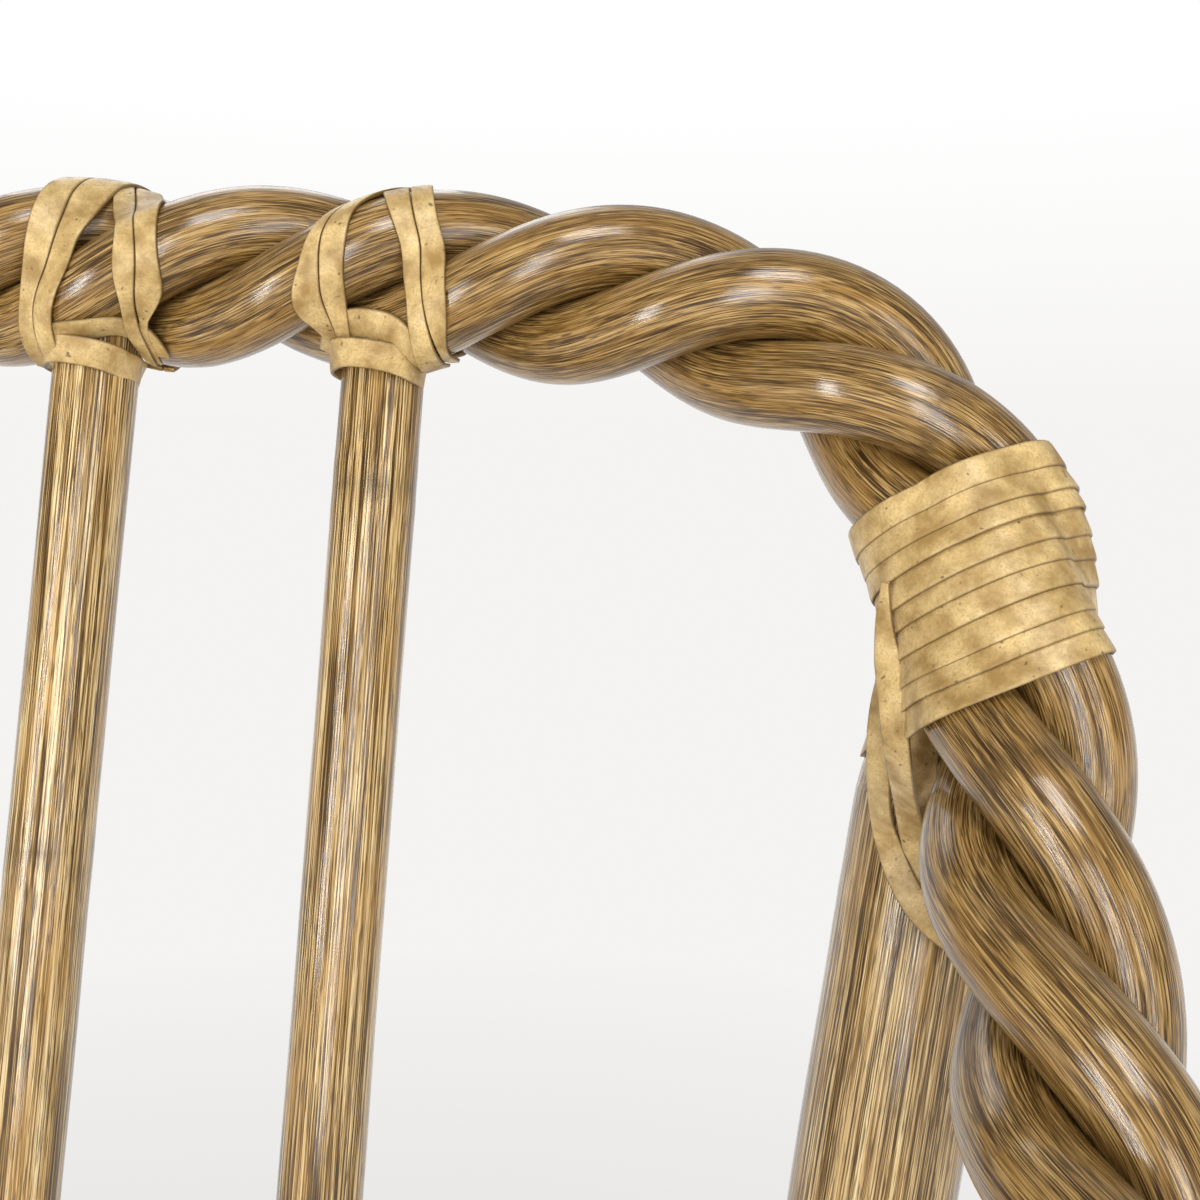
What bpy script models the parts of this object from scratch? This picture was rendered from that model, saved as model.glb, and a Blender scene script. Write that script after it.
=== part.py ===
"""Rattan lounge chair with a three-pole twisted top rail that runs on into the arms.

Metres, +Z up, the chair faces -Y. The origin is on the floor under the middle of the chair.
Lengths along the rail count from its middle. Left and right are as seen from the front.
"""
import math

import bpy
import numpy as np

# Overall frame
RAIL_HEIGHT = 0.800
SEAT_RAIL_HEIGHT = 0.345
STRETCHER_HEIGHT = 0.165
CLEARANCE = 0.0003

# Twisted rail: half of its route, from the middle of the back to the front end of the right arm,
# as steps to the right, forward (negative) and down (negative) from the middle of the rail
RAIL_KNOTS = (
    (0.000, 0.000, 0.000),
    (0.075, 0.000, 0.000),
    (0.150, 0.000, 0.000),
    (0.232, -0.009, -0.005),
    (0.2915, -0.028, -0.0255),
    (0.3175, -0.044, -0.064),
    (0.322, -0.072, -0.112),
    (0.3225, -0.122, -0.159),
    (0.328, -0.200, -0.196),
    (0.334, -0.330, -0.213),
    (0.337, -0.480, -0.216),
    (0.337, -0.580, -0.217),
    (0.335, -0.680, -0.228),
)
STRAND_COUNT = 3
STRAND_DIAMETER = 0.0194
STRAND_GAP = 0.0012
TWIST_PITCH = 0.139
TWIST_PHASE = math.radians(69.0)

# Poles
SPINDLE_DIAMETER = 0.020
SPINDLE_FIRST = 0.040
SPINDLE_SPACING = 0.071
SPINDLE_FEET = (0.026, 0.081, 0.1565)
POST_DIAMETER = 0.040
REAR_POST_KNEE = (0.268, -0.055)
REAR_POST_FOOT = (0.290, -0.012)
POST_TOP_RISE = 0.012
POST_TOP_GAP = 0.0014
ARM_OVERHANG = 0.082
FRONT_POST_FOOT = (0.308, -0.596)
SEAT_RAIL_DIAMETER = 0.032
SEAT_RAIL_OVERHANG = 0.034
SIDE_RAIL_SPREAD = 0.218
SEAT_POLE_DIAMETER = 0.019
SEAT_POLE_COUNT = 9
SEAT_POLE_MARGIN = 0.036
SEAT_POLE_OVERHANG = 0.034
STRETCHER_DIAMETER = 0.024
END_CHAMFER = 0.002

# Leather strip and its lashings
LEATHER_WIDTH = 0.0046
LEATHER_THICKNESS = 0.0010
TURN_GAP = 0.0007
WINDING_LIFT = 0.0005
CORNER_LIFT = 0.0005
SADDLE_TURN_GAP = 0.0014
SADDLE_SIDE_GAP = 0.0012
SADDLE_GATHER = 0.012
SADDLE_START = math.radians(200.0)
SADDLE_FINISH = math.radians(-450.0)
BAND_GAP = 0.0018
BAND_TURNS = 2
BAND_LIFT = 0.008
BAND_BULGE = 0.006
CORNER_TURNS = 9
CORNER_AT = 0.343
CORNER_SLIDE = 0.015
CORNER_LEAN = (0.250, 0.968, 0.0)
TIE_TURNS = 2
TIE_DROP = 0.074
TIE_TILT = 0.026
TIE_SIDE_LEAN = 0.6
ARM_END_TURNS = 5
ARM_END_MARGIN = 0.006
SEAT_BINDING_TURNS = 3

# Foot glides
GLIDE_DIAMETER = 0.046
GLIDE_HEIGHT = 0.008
GLIDE_CHAMFER = 0.0015

# Facets
AXIS_SAMPLES = 3201
STATIONS_PER_TURN = 10
STRAND_SIDES = 8
POLE_SIDES = 12
POST_STATIONS = 15
GLIDE_SIDES = 24
LOOP_POINTS = 10
OVAL_POINTS = 96
PATH_POINTS = 601
PATH_STEP = 0.002

POST_RADIUS = POST_DIAMETER / 2
SPINDLE_RADIUS = SPINDLE_DIAMETER / 2
SEAT_RAIL_RADIUS = SEAT_RAIL_DIAMETER / 2
STRAND_RADIUS = STRAND_DIAMETER / 2
SIDES = ("left", "right")
UP = np.array((0.0, 0.0, 1.0))
RIGHT = np.array((1.0, 0.0, 0.0))
FRONT = np.array((0.0, -1.0, 0.0))

for old in list(bpy.data.objects):
    bpy.data.objects.remove(old, do_unlink=True)


# Materials
def material(name, colour, roughness, metallic=0.0):
    """A Principled material with one colour."""
    made = bpy.data.materials.new(name)
    made.use_nodes = True
    shader = made.node_tree.nodes["Principled BSDF"]
    shader.inputs["Base Color"].default_value = (*colour, 1.0)
    shader.inputs["Roughness"].default_value = roughness
    shader.inputs["Metallic"].default_value = metallic
    return made


TWIST_RATTAN = material("lacquered_rattan_amber", (0.28, 0.15, 0.055), 0.32)
POLE_RATTAN = material("lacquered_rattan_gold", (0.36, 0.21, 0.085), 0.34)
LEATHER = material("rawhide_leather_strip", (0.44, 0.31, 0.14), 0.50)
GLIDE_PLASTIC = material("brown_nylon_glide", (0.06, 0.04, 0.03), 0.55)

chair = bpy.data.objects.new("chair", None)
bpy.context.scene.collection.objects.link(chair)


# Vectors and paths
def side_sign(side):
    """Minus one for the left half of the chair and one for the right half."""
    return 1.0 if side == "right" else -1.0


def unit(vectors):
    """Vectors scaled to length one."""
    vectors = np.asarray(vectors, float)
    return vectors / np.linalg.norm(vectors, axis=-1, keepdims=True)


def natural_spline(knots, count):
    """A smooth curve through the knots, with free ends, read at even steps of chord length."""
    knots = np.asarray(knots, float)
    chord = np.linalg.norm(np.diff(knots, axis=0), axis=1)
    at = np.concatenate(([0.0], np.cumsum(chord)))
    last = len(knots) - 1
    system = np.eye(last + 1)
    bend = np.zeros_like(knots)
    for i in range(1, last):
        system[i, i - 1:i + 2] = (chord[i - 1], 2 * (chord[i - 1] + chord[i]), chord[i])
        bend[i] = 6 * ((knots[i + 1] - knots[i]) / chord[i] - (knots[i] - knots[i - 1]) / chord[i - 1])
    second = np.linalg.solve(system, bend)
    place = np.linspace(0.0, at[-1], count)
    k = np.clip(np.searchsorted(at, place) - 1, 0, last - 1)
    span = chord[k][:, None]
    before = (place - at[k])[:, None]
    after = (at[k + 1] - place)[:, None]
    cubic = (second[k] * after ** 3 + second[k + 1] * before ** 3) / (6 * span)
    start = (knots[k] / span - second[k] * span / 6) * after
    finish = (knots[k + 1] / span - second[k + 1] * span / 6) * before
    return cubic + start + finish


def line(start, end):
    """Points along a straight line."""
    count = max(int(np.linalg.norm(np.subtract(end, start)) / PATH_STEP), 2)
    return np.linspace(start, end, count)


def where_height(points, height):
    """The point and the direction of a rising or falling path at one height."""
    i = int(np.argmin(np.abs(points[1:-1, 2] - height))) + 1
    tangent = unit(points[i + 1] - points[i - 1])
    return points[i] + tangent * (height - points[i, 2]) / tangent[2], tangent


def flat_end_reach(origin, direction, end_radius, tubes):
    """How far a flat round end travels from the origin before it is one clearance from the tubes.

    A tube is the spheres along its centreline. The end meets a sphere on its face where the centre
    lies over the end, and on its rim where the centre lies beside it.
    """
    reach = []
    for centres, radius in tubes:
        offset = centres - origin
        along = offset @ direction
        aside = np.linalg.norm(offset - along[:, None] * direction, axis=1)
        beside = np.clip(aside - end_radius, 0.0, None)
        full = radius + CLEARANCE
        near = (beside < full) & (along > 0)
        if near.any():
            reach.append(np.min(along[near] - np.sqrt(full ** 2 - beside[near] ** 2)))
    return min(reach)


# Meshes
def add_object(name, points, faces, look, smooth=True):
    """One named object with its own mesh, under the chair's empty."""
    mesh = bpy.data.meshes.new(name)
    mesh.from_pydata([tuple(p) for p in points], [], faces)
    mesh.validate()
    if smooth:
        mesh.shade_smooth()
        mesh.set_sharp_from_angle(angle=math.radians(40.0))
    mesh.materials.append(look)
    made = bpy.data.objects.new(name, mesh)
    made.parent = chair
    bpy.context.scene.collection.objects.link(made)
    return made


def skin(name, rings, look, smooth=True):
    """A closed body through rings of equal count, with flat ends. Rings turn right-handed along it."""
    rings = np.asarray(rings)
    count, sides = rings.shape[:2]
    faces = []
    for i in range(count - 1):
        for j in range(sides):
            a = i * sides + j
            b = i * sides + (j + 1) % sides
            faces.append((a, b, b + sides, a + sides))
    faces.append(tuple(range(sides - 1, -1, -1)))
    faces.append(tuple((count - 1) * sides + j for j in range(sides)))
    return add_object(name, rings.reshape(-1, 3), faces, look, smooth)


def ring(centre, tangent, radius, sides, toward=None):
    """A circle of points round a tangent, the first one lying toward a given direction."""
    tangent = unit(tangent)
    if toward is None:
        toward = UP if abs(tangent[2]) < 0.8 else FRONT
    first = unit(toward - (toward @ tangent) * tangent)
    second = np.cross(tangent, first)
    turn = 2 * np.pi * np.arange(sides) / sides
    return centre + radius * (np.cos(turn)[:, None] * first + np.sin(turn)[:, None] * second)


def pole(name, points, radius, look, stations=2, level_start=None):
    """A round pole along a path with chamfered ends. A level start is cut flat at that height."""
    points = np.asarray(points, float)
    tangents = unit(np.gradient(points, axis=0))
    pick = np.linspace(0, len(points) - 1, stations).round().astype(int)
    slim = radius - END_CHAMFER
    rings = [ring(points[i], tangents[i], radius, POLE_SIDES) for i in pick]
    rings.append(ring(points[-1], tangents[-1], slim, POLE_SIDES))
    rings[-2] = rings[-2] - END_CHAMFER * tangents[-1]
    first = ring(points[0], tangents[0], slim, POLE_SIDES)
    if level_start is None:
        rings[0] = rings[0] + END_CHAMFER * tangents[0]
    else:
        first = first + np.outer((level_start - first[:, 2]) / tangents[0][2], tangents[0])
        over = level_start + END_CHAMFER - rings[0][:, 2]
        rings[0] = rings[0] + np.outer(over / tangents[0][2], tangents[0])
    rings.insert(0, first)
    return skin(name, rings, look)


# Leather strips
def least_gap(edges, points_per_loop):
    """The least distance between points of a strip that lie at least half a loop apart along it."""
    fine = np.concatenate([edges[:-1] + (edges[1:] - edges[:-1]) * share for share in (0, 0.25, 0.5, 0.75)])
    order = np.tile(np.arange(len(edges) - 1), 4) + np.repeat((0, 0.25, 0.5, 0.75), len(edges) - 1)
    least = np.inf
    for i in range(fine.shape[1]):
        for j in range(fine.shape[1]):
            apart = np.abs(order[:, None] - order[None, :]) > points_per_loop / 2
            away = np.linalg.norm(fine[:, None, i] - fine[None, :, j], axis=2)
            if apart.any():
                least = min(least, away[apart].min())
    return least


def strip(name, centres, normals):
    """A flat leather strip: its rectangle is carried along the centres, thin along the normals."""
    tangents = unit(np.gradient(centres, axis=0))
    across = unit(np.cross(normals, tangents))
    normals = np.cross(tangents, across)
    half = LEATHER_WIDTH / 2
    thin = LEATHER_THICKNESS / 2
    corners = ((half, thin), (-half, thin), (-half, -thin), (half, -thin))
    edges = np.stack([centres + a * across + n * normals for a, n in corners], axis=1)
    gap = least_gap(edges, LOOP_POINTS)
    print(f"{name}: least gap to itself {gap * 1000:.2f} mm")
    return skin(name, edges, LEATHER, smooth=False)


def oval_of(tube, origin, axis):
    """Where a tube passes through the plane at the origin, square to the axis.

    That is an oval of points. With it come the directions in which the tube's surface faces there.
    """
    centres, radius = tube
    away = np.linalg.norm(centres - origin, axis=1)
    far = away > away.min() + radius
    i = int(np.argmin(np.abs((centres - origin) @ axis) + far))
    i = min(max(i, 1), len(centres) - 2)
    tangent = unit(centres[i + 1] - centres[i - 1])
    facing = ring(np.zeros(3), tangent, 1.0, OVAL_POINTS)
    points = centres[i] + radius * facing
    return points - np.outer(((points - origin) @ axis) / (tangent @ axis), tangent), facing


def flattest(oval):
    """The largest radius of curvature of an oval: its long half width squared over its short one."""
    half_widths = np.linalg.norm(oval - oval.mean(axis=0), axis=1)
    return half_widths.max() ** 2 / half_widths.min()


def winding(name, tubes, start, axis, turns, toward, lift=WINDING_LIFT):
    """A strip wound round one tube or two together, stepping along the axis turn by turn.

    In each direction the strip lies on the outermost point of the tubes' ovals. Where it leaves one
    tube for the other it runs straight along their shared tangent, the direction in which both reach
    equally far.
    """
    axis = unit(axis)
    first = unit(toward - (toward @ axis) * axis)
    second = np.cross(axis, first)
    step = (LEATHER_WIDTH + TURN_GAP) / LOOP_POINTS
    slack = max(flattest(oval_of(tube, start, axis)[0]) for tube in tubes)
    slack = slack * (1 / math.cos(math.pi / LOOP_POINTS) - 1)
    lift = lift + LEATHER_THICKNESS / 2 + slack
    centres = []
    normals = []

    def outermost(place):
        """At a place along the winding: each tube's outermost point, its facing and how far it reaches."""
        turn = 2 * math.pi * place / LOOP_POINTS
        outward = math.cos(turn) * first + math.sin(turn) * second
        points = []
        facings = []
        for tube in tubes:
            oval, facing = oval_of(tube, start + axis * step * place, axis)
            best = np.argmax(oval @ outward)
            points.append(oval[best])
            facings.append(facing[best])
        return points, facings, np.array(points) @ outward

    def lay(point, facing):
        """One more point of the strip's centreline, lifted off the tube."""
        centres.append(point + facing * lift)
        normals.append(facing)

    _, _, reach_before = outermost(0)
    held = int(np.argmax(reach_before))
    for place in range(turns * LOOP_POINTS + 1):
        points, facings, reach = outermost(place)
        best = int(np.argmax(reach))
        if best != held:
            lead_before = reach_before[held] - reach_before[best]
            lead = reach[best] - reach[held]
            ends, end_facings, _ = outermost(place - lead / (lead_before + lead))
            lay(ends[held], end_facings[held])
            lay(ends[best], end_facings[best])
        lay(points[best], facings[best])
        held = best
        reach_before = reach
    return strip(name, np.array(centres), np.array(normals))


# Twisted rail: its axis, its lay and its strands
def lay_radius():
    """How far each strand's centreline lies from the rail's axis, so that neighbours keep the gap.

    Two helices a third of a turn apart come closest where one is a little ahead along the axis.
    The radius at which that distance is one diameter and one gap is found by halving.
    """
    ahead = np.linspace(-TWIST_PITCH / 4, TWIST_PITCH / 4, 801)
    angle = 2 * np.pi / STRAND_COUNT + 2 * np.pi * ahead / TWIST_PITCH
    low, high = STRAND_RADIUS, STRAND_DIAMETER
    for _ in range(40):
        middle = (low + high) / 2
        nearest = np.sqrt(2 * middle ** 2 * (1 - np.cos(angle)) + ahead ** 2).min()
        low, high = (middle, high) if nearest < STRAND_DIAMETER + STRAND_GAP else (low, middle)
    return high


half_route = np.array(RAIL_KNOTS)
mirrored = half_route[:0:-1] * (-1.0, 1.0, 1.0)
axis_points = natural_spline(np.vstack((mirrored, half_route)), AXIS_SAMPLES) + RAIL_HEIGHT * UP
middle_sample = AXIS_SAMPLES // 2
steps = np.linalg.norm(np.diff(axis_points, axis=0), axis=1)
axis_length = np.concatenate(([0.0], np.cumsum(steps)))
axis_length = axis_length - axis_length[middle_sample]
axis_tangents = unit(np.gradient(axis_points, axis=0))
axis_fronts = np.zeros_like(axis_points)
axis_fronts[middle_sample] = FRONT
for way in (1, -1):
    stop = AXIS_SAMPLES if way > 0 else -1
    for i in range(middle_sample + way, stop, way):
        carried = axis_fronts[i - way]
        axis_fronts[i] = unit(carried - (carried @ axis_tangents[i]) * axis_tangents[i])
axis_downs = np.cross(axis_tangents, axis_fronts)
LAY_RADIUS = lay_radius()
ROPE_RADIUS = LAY_RADIUS + STRAND_RADIUS
rope = (axis_points, ROPE_RADIUS)
front_post_at = axis_length[-1] - ARM_OVERHANG


def on_axis(length, table):
    """A table of vectors along the rail, read at one length or several."""
    return np.stack([np.interp(length, axis_length, table[:, i]) for i in range(3)], axis=-1)


def strand_centreline(k, length):
    """Strand k: a left-handed helix round the rail's axis."""
    turn = (TWIST_PHASE + 2 * np.pi * k / STRAND_COUNT - 2 * np.pi * length / TWIST_PITCH)[:, None]
    outward = np.cos(turn) * on_axis(length, axis_fronts) + np.sin(turn) * on_axis(length, axis_downs)
    return on_axis(length, axis_points) + LAY_RADIUS * outward, outward


strands = []
station_count = int(round((axis_length[-1] - axis_length[0]) / TWIST_PITCH * STATIONS_PER_TURN)) + 1
stations = np.linspace(axis_length[0], axis_length[-1], station_count)
for k in range(STRAND_COUNT):
    fine_centres, _ = strand_centreline(k, axis_length)
    fine_tangents = unit(np.gradient(fine_centres, axis=0))
    centres, outwards = strand_centreline(k, stations)
    tangents = on_axis(stations, fine_tangents)
    rings = [ring(c, t, STRAND_RADIUS, STRAND_SIDES, o) for c, t, o in zip(centres, tangents, outwards)]
    skin(f"twist_strand_{k + 1}", rings, TWIST_RATTAN)
    strands.append((fine_centres, STRAND_RADIUS))


# Posts
rear_posts = {}
front_posts = {}
glide_top = GLIDE_HEIGHT + CLEARANCE
for side in SIDES:
    sign = side_sign(side)
    mirror = np.array((sign, 1.0, 1.0))
    bound_at = on_axis(CORNER_AT, axis_points)
    lean = unit(CORNER_LEAN)
    top = bound_at + lean * (ROPE_RADIUS + POST_RADIUS + POST_TOP_GAP)
    knee = np.array((*REAR_POST_KNEE, SEAT_RAIL_HEIGHT))
    foot = np.array((*REAR_POST_FOOT, glide_top))
    upward = unit(top - knee)
    knots = (foot, knee, knee + (top - knee) / 3, knee + (top - knee) * 2 / 3, top + upward * POST_TOP_RISE)
    points = natural_spline(np.array(knots) * mirror, PATH_POINTS)
    pole(f"rear_post_{side}", points, POST_RADIUS, POLE_RATTAN, POST_STATIONS, glide_top)
    rear_posts[side] = (points, POST_RADIUS)

    foot = np.array((*FRONT_POST_FOOT, glide_top)) * mirror
    under_arm = on_axis(sign * front_post_at, axis_points)
    upward = unit(under_arm - foot)
    top = foot + upward * flat_end_reach(foot, upward, POST_RADIUS, strands)
    points = line(foot, top)
    pole(f"front_post_{side}", points, POST_RADIUS, POLE_RATTAN, 2, glide_top)
    front_posts[side] = (points, POST_RADIUS)


# Seat frame: the cross rails lie against the posts, the side rails butt between them
def cross_rail(name, posts, behind):
    """A rail from side to side that lies against both posts, behind or in front of them."""
    at, tangent = where_height(posts["right"][0], SEAT_RAIL_HEIGHT)
    square = unit(np.cross(RIGHT, tangent))
    away = (POST_RADIUS + SEAT_RAIL_RADIUS + CLEARANCE) / abs(square[1])
    depth = at[1] + behind * away
    reach = at[0] + SEAT_RAIL_OVERHANG
    points = line((-reach, depth, SEAT_RAIL_HEIGHT), (reach, depth, SEAT_RAIL_HEIGHT))
    pole(name, points, SEAT_RAIL_RADIUS, POLE_RATTAN)
    return points, SEAT_RAIL_RADIUS


def butt_pole(name, middle, direction, radius, back_tubes, front_tubes):
    """A straight pole through a middle point that stops one clearance short of the tubes at each end."""
    direction = unit(direction)
    ahead = flat_end_reach(middle, direction, radius, front_tubes)
    behind = flat_end_reach(middle, -direction, radius, back_tubes)
    points = line(middle - direction * behind, middle + direction * ahead)
    pole(name, points, radius, POLE_RATTAN)
    return points, radius


rear_rail = cross_rail("seat_rail_rear", rear_posts, -1.0)
front_rail = cross_rail("seat_rail_front", front_posts, 1.0)
rear_depth = rear_rail[0][0][1]
front_depth = front_rail[0][0][1]
for side in SIDES:
    middle = np.array((side_sign(side) * SIDE_RAIL_SPREAD, (rear_depth + front_depth) / 2, SEAT_RAIL_HEIGHT))
    butt_pole(f"seat_rail_{side}", middle, FRONT, SEAT_RAIL_RADIUS, [rear_rail], [front_rail])

seat_pole_radius = SEAT_POLE_DIAMETER / 2
seat_pole_height = SEAT_RAIL_HEIGHT + SEAT_RAIL_RADIUS + CLEARANCE + seat_pole_radius
seat_pole_reach = SIDE_RAIL_SPREAD + SEAT_POLE_OVERHANG
for i, depth in enumerate(np.linspace(front_depth + SEAT_POLE_MARGIN, rear_depth - SEAT_POLE_MARGIN,
                                      SEAT_POLE_COUNT)):
    ends = ((-seat_pole_reach, depth, seat_pole_height), (seat_pole_reach, depth, seat_pole_height))
    pole(f"seat_pole_{i + 1}", line(*ends), seat_pole_radius, POLE_RATTAN)


# Stretchers
stretcher_radius = STRETCHER_DIAMETER / 2
low_points = {}
for name, posts in (("rear", rear_posts), ("front", front_posts)):
    for side in SIDES:
        low_points[name, side] = where_height(posts[side][0], STRETCHER_HEIGHT)[0]
    span = low_points[name, "right"] - low_points[name, "left"]
    middle = low_points[name, "left"] + span / 2
    butt_pole(f"stretcher_{name}", middle, span, stretcher_radius, [posts["left"]], [posts["right"]])
for side in SIDES:
    span = low_points["front", side] - low_points["rear", side]
    middle = low_points["rear", side] + span / 2
    butt_pole(f"stretcher_{side}", middle, span, stretcher_radius, [rear_posts[side]], [front_posts[side]])


# Spindles and their lashings
def saddle(name, length, upward, post_radius):
    """A strip over the rail: two loops beside a post, a pass behind its head, two loops beyond it.

    A loop runs round the rail at the rope's radius. Beside the post it stands clear of the post's
    side, and toward the top of the rail it leans in by the square of the sine of its height.
    """
    along = unit(on_axis(length, axis_tangents))
    lean = (upward @ along) / np.linalg.norm(upward - (upward @ along) * along)
    slack = ROPE_RADIUS * (1 / math.cos(math.pi / LOOP_POINTS) - 1)
    radius = ROPE_RADIUS + CLEARANCE + LEATHER_THICKNESS / 2 + slack
    length = length - lean * radius
    inner = post_radius / math.cos(math.pi / LOOP_POINTS) + SADDLE_SIDE_GAP + LEATHER_WIDTH / 2
    count = int(round((SADDLE_START - SADDLE_FINISH) / (2 * math.pi) * LOOP_POINTS)) + 1
    turn = np.linspace(SADDLE_START, SADDLE_FINISH, count)
    sideways = (LEATHER_WIDTH + SADDLE_TURN_GAP) * (turn - SADDLE_FINISH) / (2 * np.pi) + inner
    sideways = sideways - SADDLE_GATHER * np.clip(np.sin(turn), 0, None) ** 2

    ups = unit(upward - (upward @ along) * along)
    forwards = np.cross(along, ups)
    outward = np.cos(turn)[:, None] * forwards + np.sin(turn)[:, None] * ups
    before = on_axis(length - sideways, axis_points) + radius * outward
    after = on_axis(length + sideways, axis_points) + radius * outward
    swing = np.linspace(0, np.pi, LOOP_POINTS // 2 + 2)[1:-1, None]
    behind = on_axis(length, axis_points) - radius * ups
    behind = behind - inner * (np.cos(swing) * along + np.sin(swing) * forwards)
    below = np.repeat(-ups[None], len(behind), axis=0)
    return strip(name, np.concatenate((before, behind, after[::-1])),
                 np.concatenate((outward, below, outward[::-1])))


def band(name, centre, downward, along):
    """Turns of strip round a spindle's head, close under the rail, lifted in front over the rail's edge."""
    along = unit(along - (along @ downward) * downward)
    forward = np.cross(along, -downward)
    drop = ROPE_RADIUS / math.cos(math.pi / LOOP_POINTS) + LEATHER_THICKNESS
    drop = drop + LEATHER_WIDTH / 2 + BAND_GAP
    slack = SPINDLE_RADIUS * (1 / math.cos(math.pi / LOOP_POINTS) - 1)
    radius = SPINDLE_RADIUS + CLEARANCE + LEATHER_THICKNESS / 2 + slack
    turn = (np.linspace(0, BAND_TURNS, BAND_TURNS * LOOP_POINTS + 1) * 2 * np.pi)[:, None]
    front = np.clip(-np.cos(turn), 0, None) ** 2
    outward = -np.cos(turn) * forward + np.sin(turn) * along
    depth = drop + (LEATHER_WIDTH + SADDLE_TURN_GAP) * turn / (2 * np.pi) - BAND_LIFT * front
    centres = centre + depth * downward + (radius + BAND_BULGE * front) * outward
    return strip(name, centres, outward)


right_tops = [SPINDLE_FIRST + i * SPINDLE_SPACING for i in range(len(SPINDLE_FEET))]
right_spindles = list(zip(right_tops, SPINDLE_FEET))
left_spindles = [(-top, -foot) for top, foot in reversed(right_spindles)]
for number, (top_x, foot_x) in enumerate(left_spindles + right_spindles, start=1):
    head = np.array((top_x, 0.0, RAIL_HEIGHT))
    foot = np.array((foot_x, rear_depth, SEAT_RAIL_HEIGHT))
    butt_pole(f"back_spindle_{number}", (head + foot) / 2, head - foot, SPINDLE_RADIUS, [rear_rail], strands)
    saddle(f"spindle_saddle_{number}", top_x, head - foot, SPINDLE_RADIUS)
    band(f"spindle_band_{number}", head, unit(foot - head), RIGHT)


# Bindings at the corners, the arms and the seat
for side in SIDES:
    sign = side_sign(side)
    post_points = rear_posts[side][0]
    bound_at = on_axis(sign * CORNER_AT, axis_points)
    through = unit(sign * on_axis(sign * CORNER_AT, axis_tangents))
    height = CORNER_TURNS * (LEATHER_WIDTH + TURN_GAP)
    start = bound_at + through * (CORNER_SLIDE - height / 2)
    bound = [rope, rear_posts[side]]
    winding(f"corner_binding_{side}", bound, start, through, CORNER_TURNS, -FRONT, CORNER_LIFT)

    tie_from, tie_tangent = where_height(post_points, bound_at[2] - TIE_DROP - height / 2)
    down = -tie_tangent * np.sign(tie_tangent[2])
    low_side = unit(FRONT + sign * TIE_SIDE_LEAN * RIGHT)
    first = unit(low_side - (low_side @ down) * down)
    second = np.cross(down, first)
    turn = (np.linspace(0, TIE_TURNS, TIE_TURNS * LOOP_POINTS + 1) * 2 * np.pi)[:, None]
    outward = -np.cos(turn) * first - np.sin(turn) * second
    radius = (POST_RADIUS + WINDING_LIFT + LEATHER_THICKNESS / 2) / math.cos(math.pi / LOOP_POINTS)
    steep = math.hypot(1.0, TIE_TILT / radius)
    step = (LEATHER_WIDTH + SADDLE_TURN_GAP) * steep * turn / (2 * np.pi)
    centres = tie_from + radius * outward + (step - TIE_TILT * np.cos(turn)) * down
    strip(f"corner_tie_{side}", centres, outward)

    post_up = unit(front_posts[side][0][-1] - front_posts[side][0][0])
    saddle(f"arm_saddle_{side}", sign * front_post_at, post_up, POST_RADIUS)

    end_height = ARM_END_TURNS * (LEATHER_WIDTH + TURN_GAP) + LEATHER_WIDTH / 2
    end_at = sign * (axis_length[-1] - ARM_END_MARGIN - end_height)
    arm_out = sign * unit(on_axis(end_at, axis_tangents))
    winding(f"arm_end_binding_{side}", [rope], on_axis(end_at, axis_points), arm_out, ARM_END_TURNS, -UP)

    for place, posts, rail in (("rear", rear_posts, rear_rail), ("front", front_posts, front_rail)):
        crossing, tangent = where_height(posts[side][0], SEAT_RAIL_HEIGHT)
        diagonal = unit(tangent * np.sign(tangent[2]) + sign * RIGHT)
        centre = (crossing + np.array((crossing[0], rail[0][0][1], SEAT_RAIL_HEIGHT))) / 2
        height = SEAT_BINDING_TURNS * (LEATHER_WIDTH + TURN_GAP)
        start = centre - diagonal * height / 2
        winding(f"seat_binding_{place}_{side}", [posts[side], rail], start, diagonal, SEAT_BINDING_TURNS, FRONT)


# Foot glides
for place, posts in (("rear", rear_posts), ("front", front_posts)):
    for side in SIDES:
        centre = posts[side][0][0] * (1.0, 1.0, 0.0)
        radius = GLIDE_DIAMETER / 2
        levels = ((0.0, radius - GLIDE_CHAMFER), (GLIDE_CHAMFER, radius),
                  (GLIDE_HEIGHT - GLIDE_CHAMFER, radius), (GLIDE_HEIGHT, radius - GLIDE_CHAMFER))
        rings = [ring(centre + height * UP, UP, wide, GLIDE_SIDES) for height, wide in levels]
        skin(f"foot_glide_{place}_{side}", rings, GLIDE_PLASTIC)


# The origin goes to the floor under the middle of the chair
everything = np.concatenate([[tuple(v.co) for v in o.data.vertices] for o in chair.children])
middle = (everything.min(axis=0) + everything.max(axis=0)) / 2
chair.location = (-middle[0], -middle[1], 0.0)
bpy.context.view_layer.update()
print("overall size", np.round(everything.max(axis=0) - everything.min(axis=0), 4))
print("rail radius", round(ROPE_RADIUS, 5), "shift", np.round(chair.location, 5))
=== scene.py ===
"""Rattan lounge chair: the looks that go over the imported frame.

The twisted rail, the poles, the leather lashings and the glides are surfaces worked out on whole
arrays. Lengths are in metres. The chair faces -Y. Angles round the rail count from its front towards
its underside, and lengths along it count from its middle.
"""
import math

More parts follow.
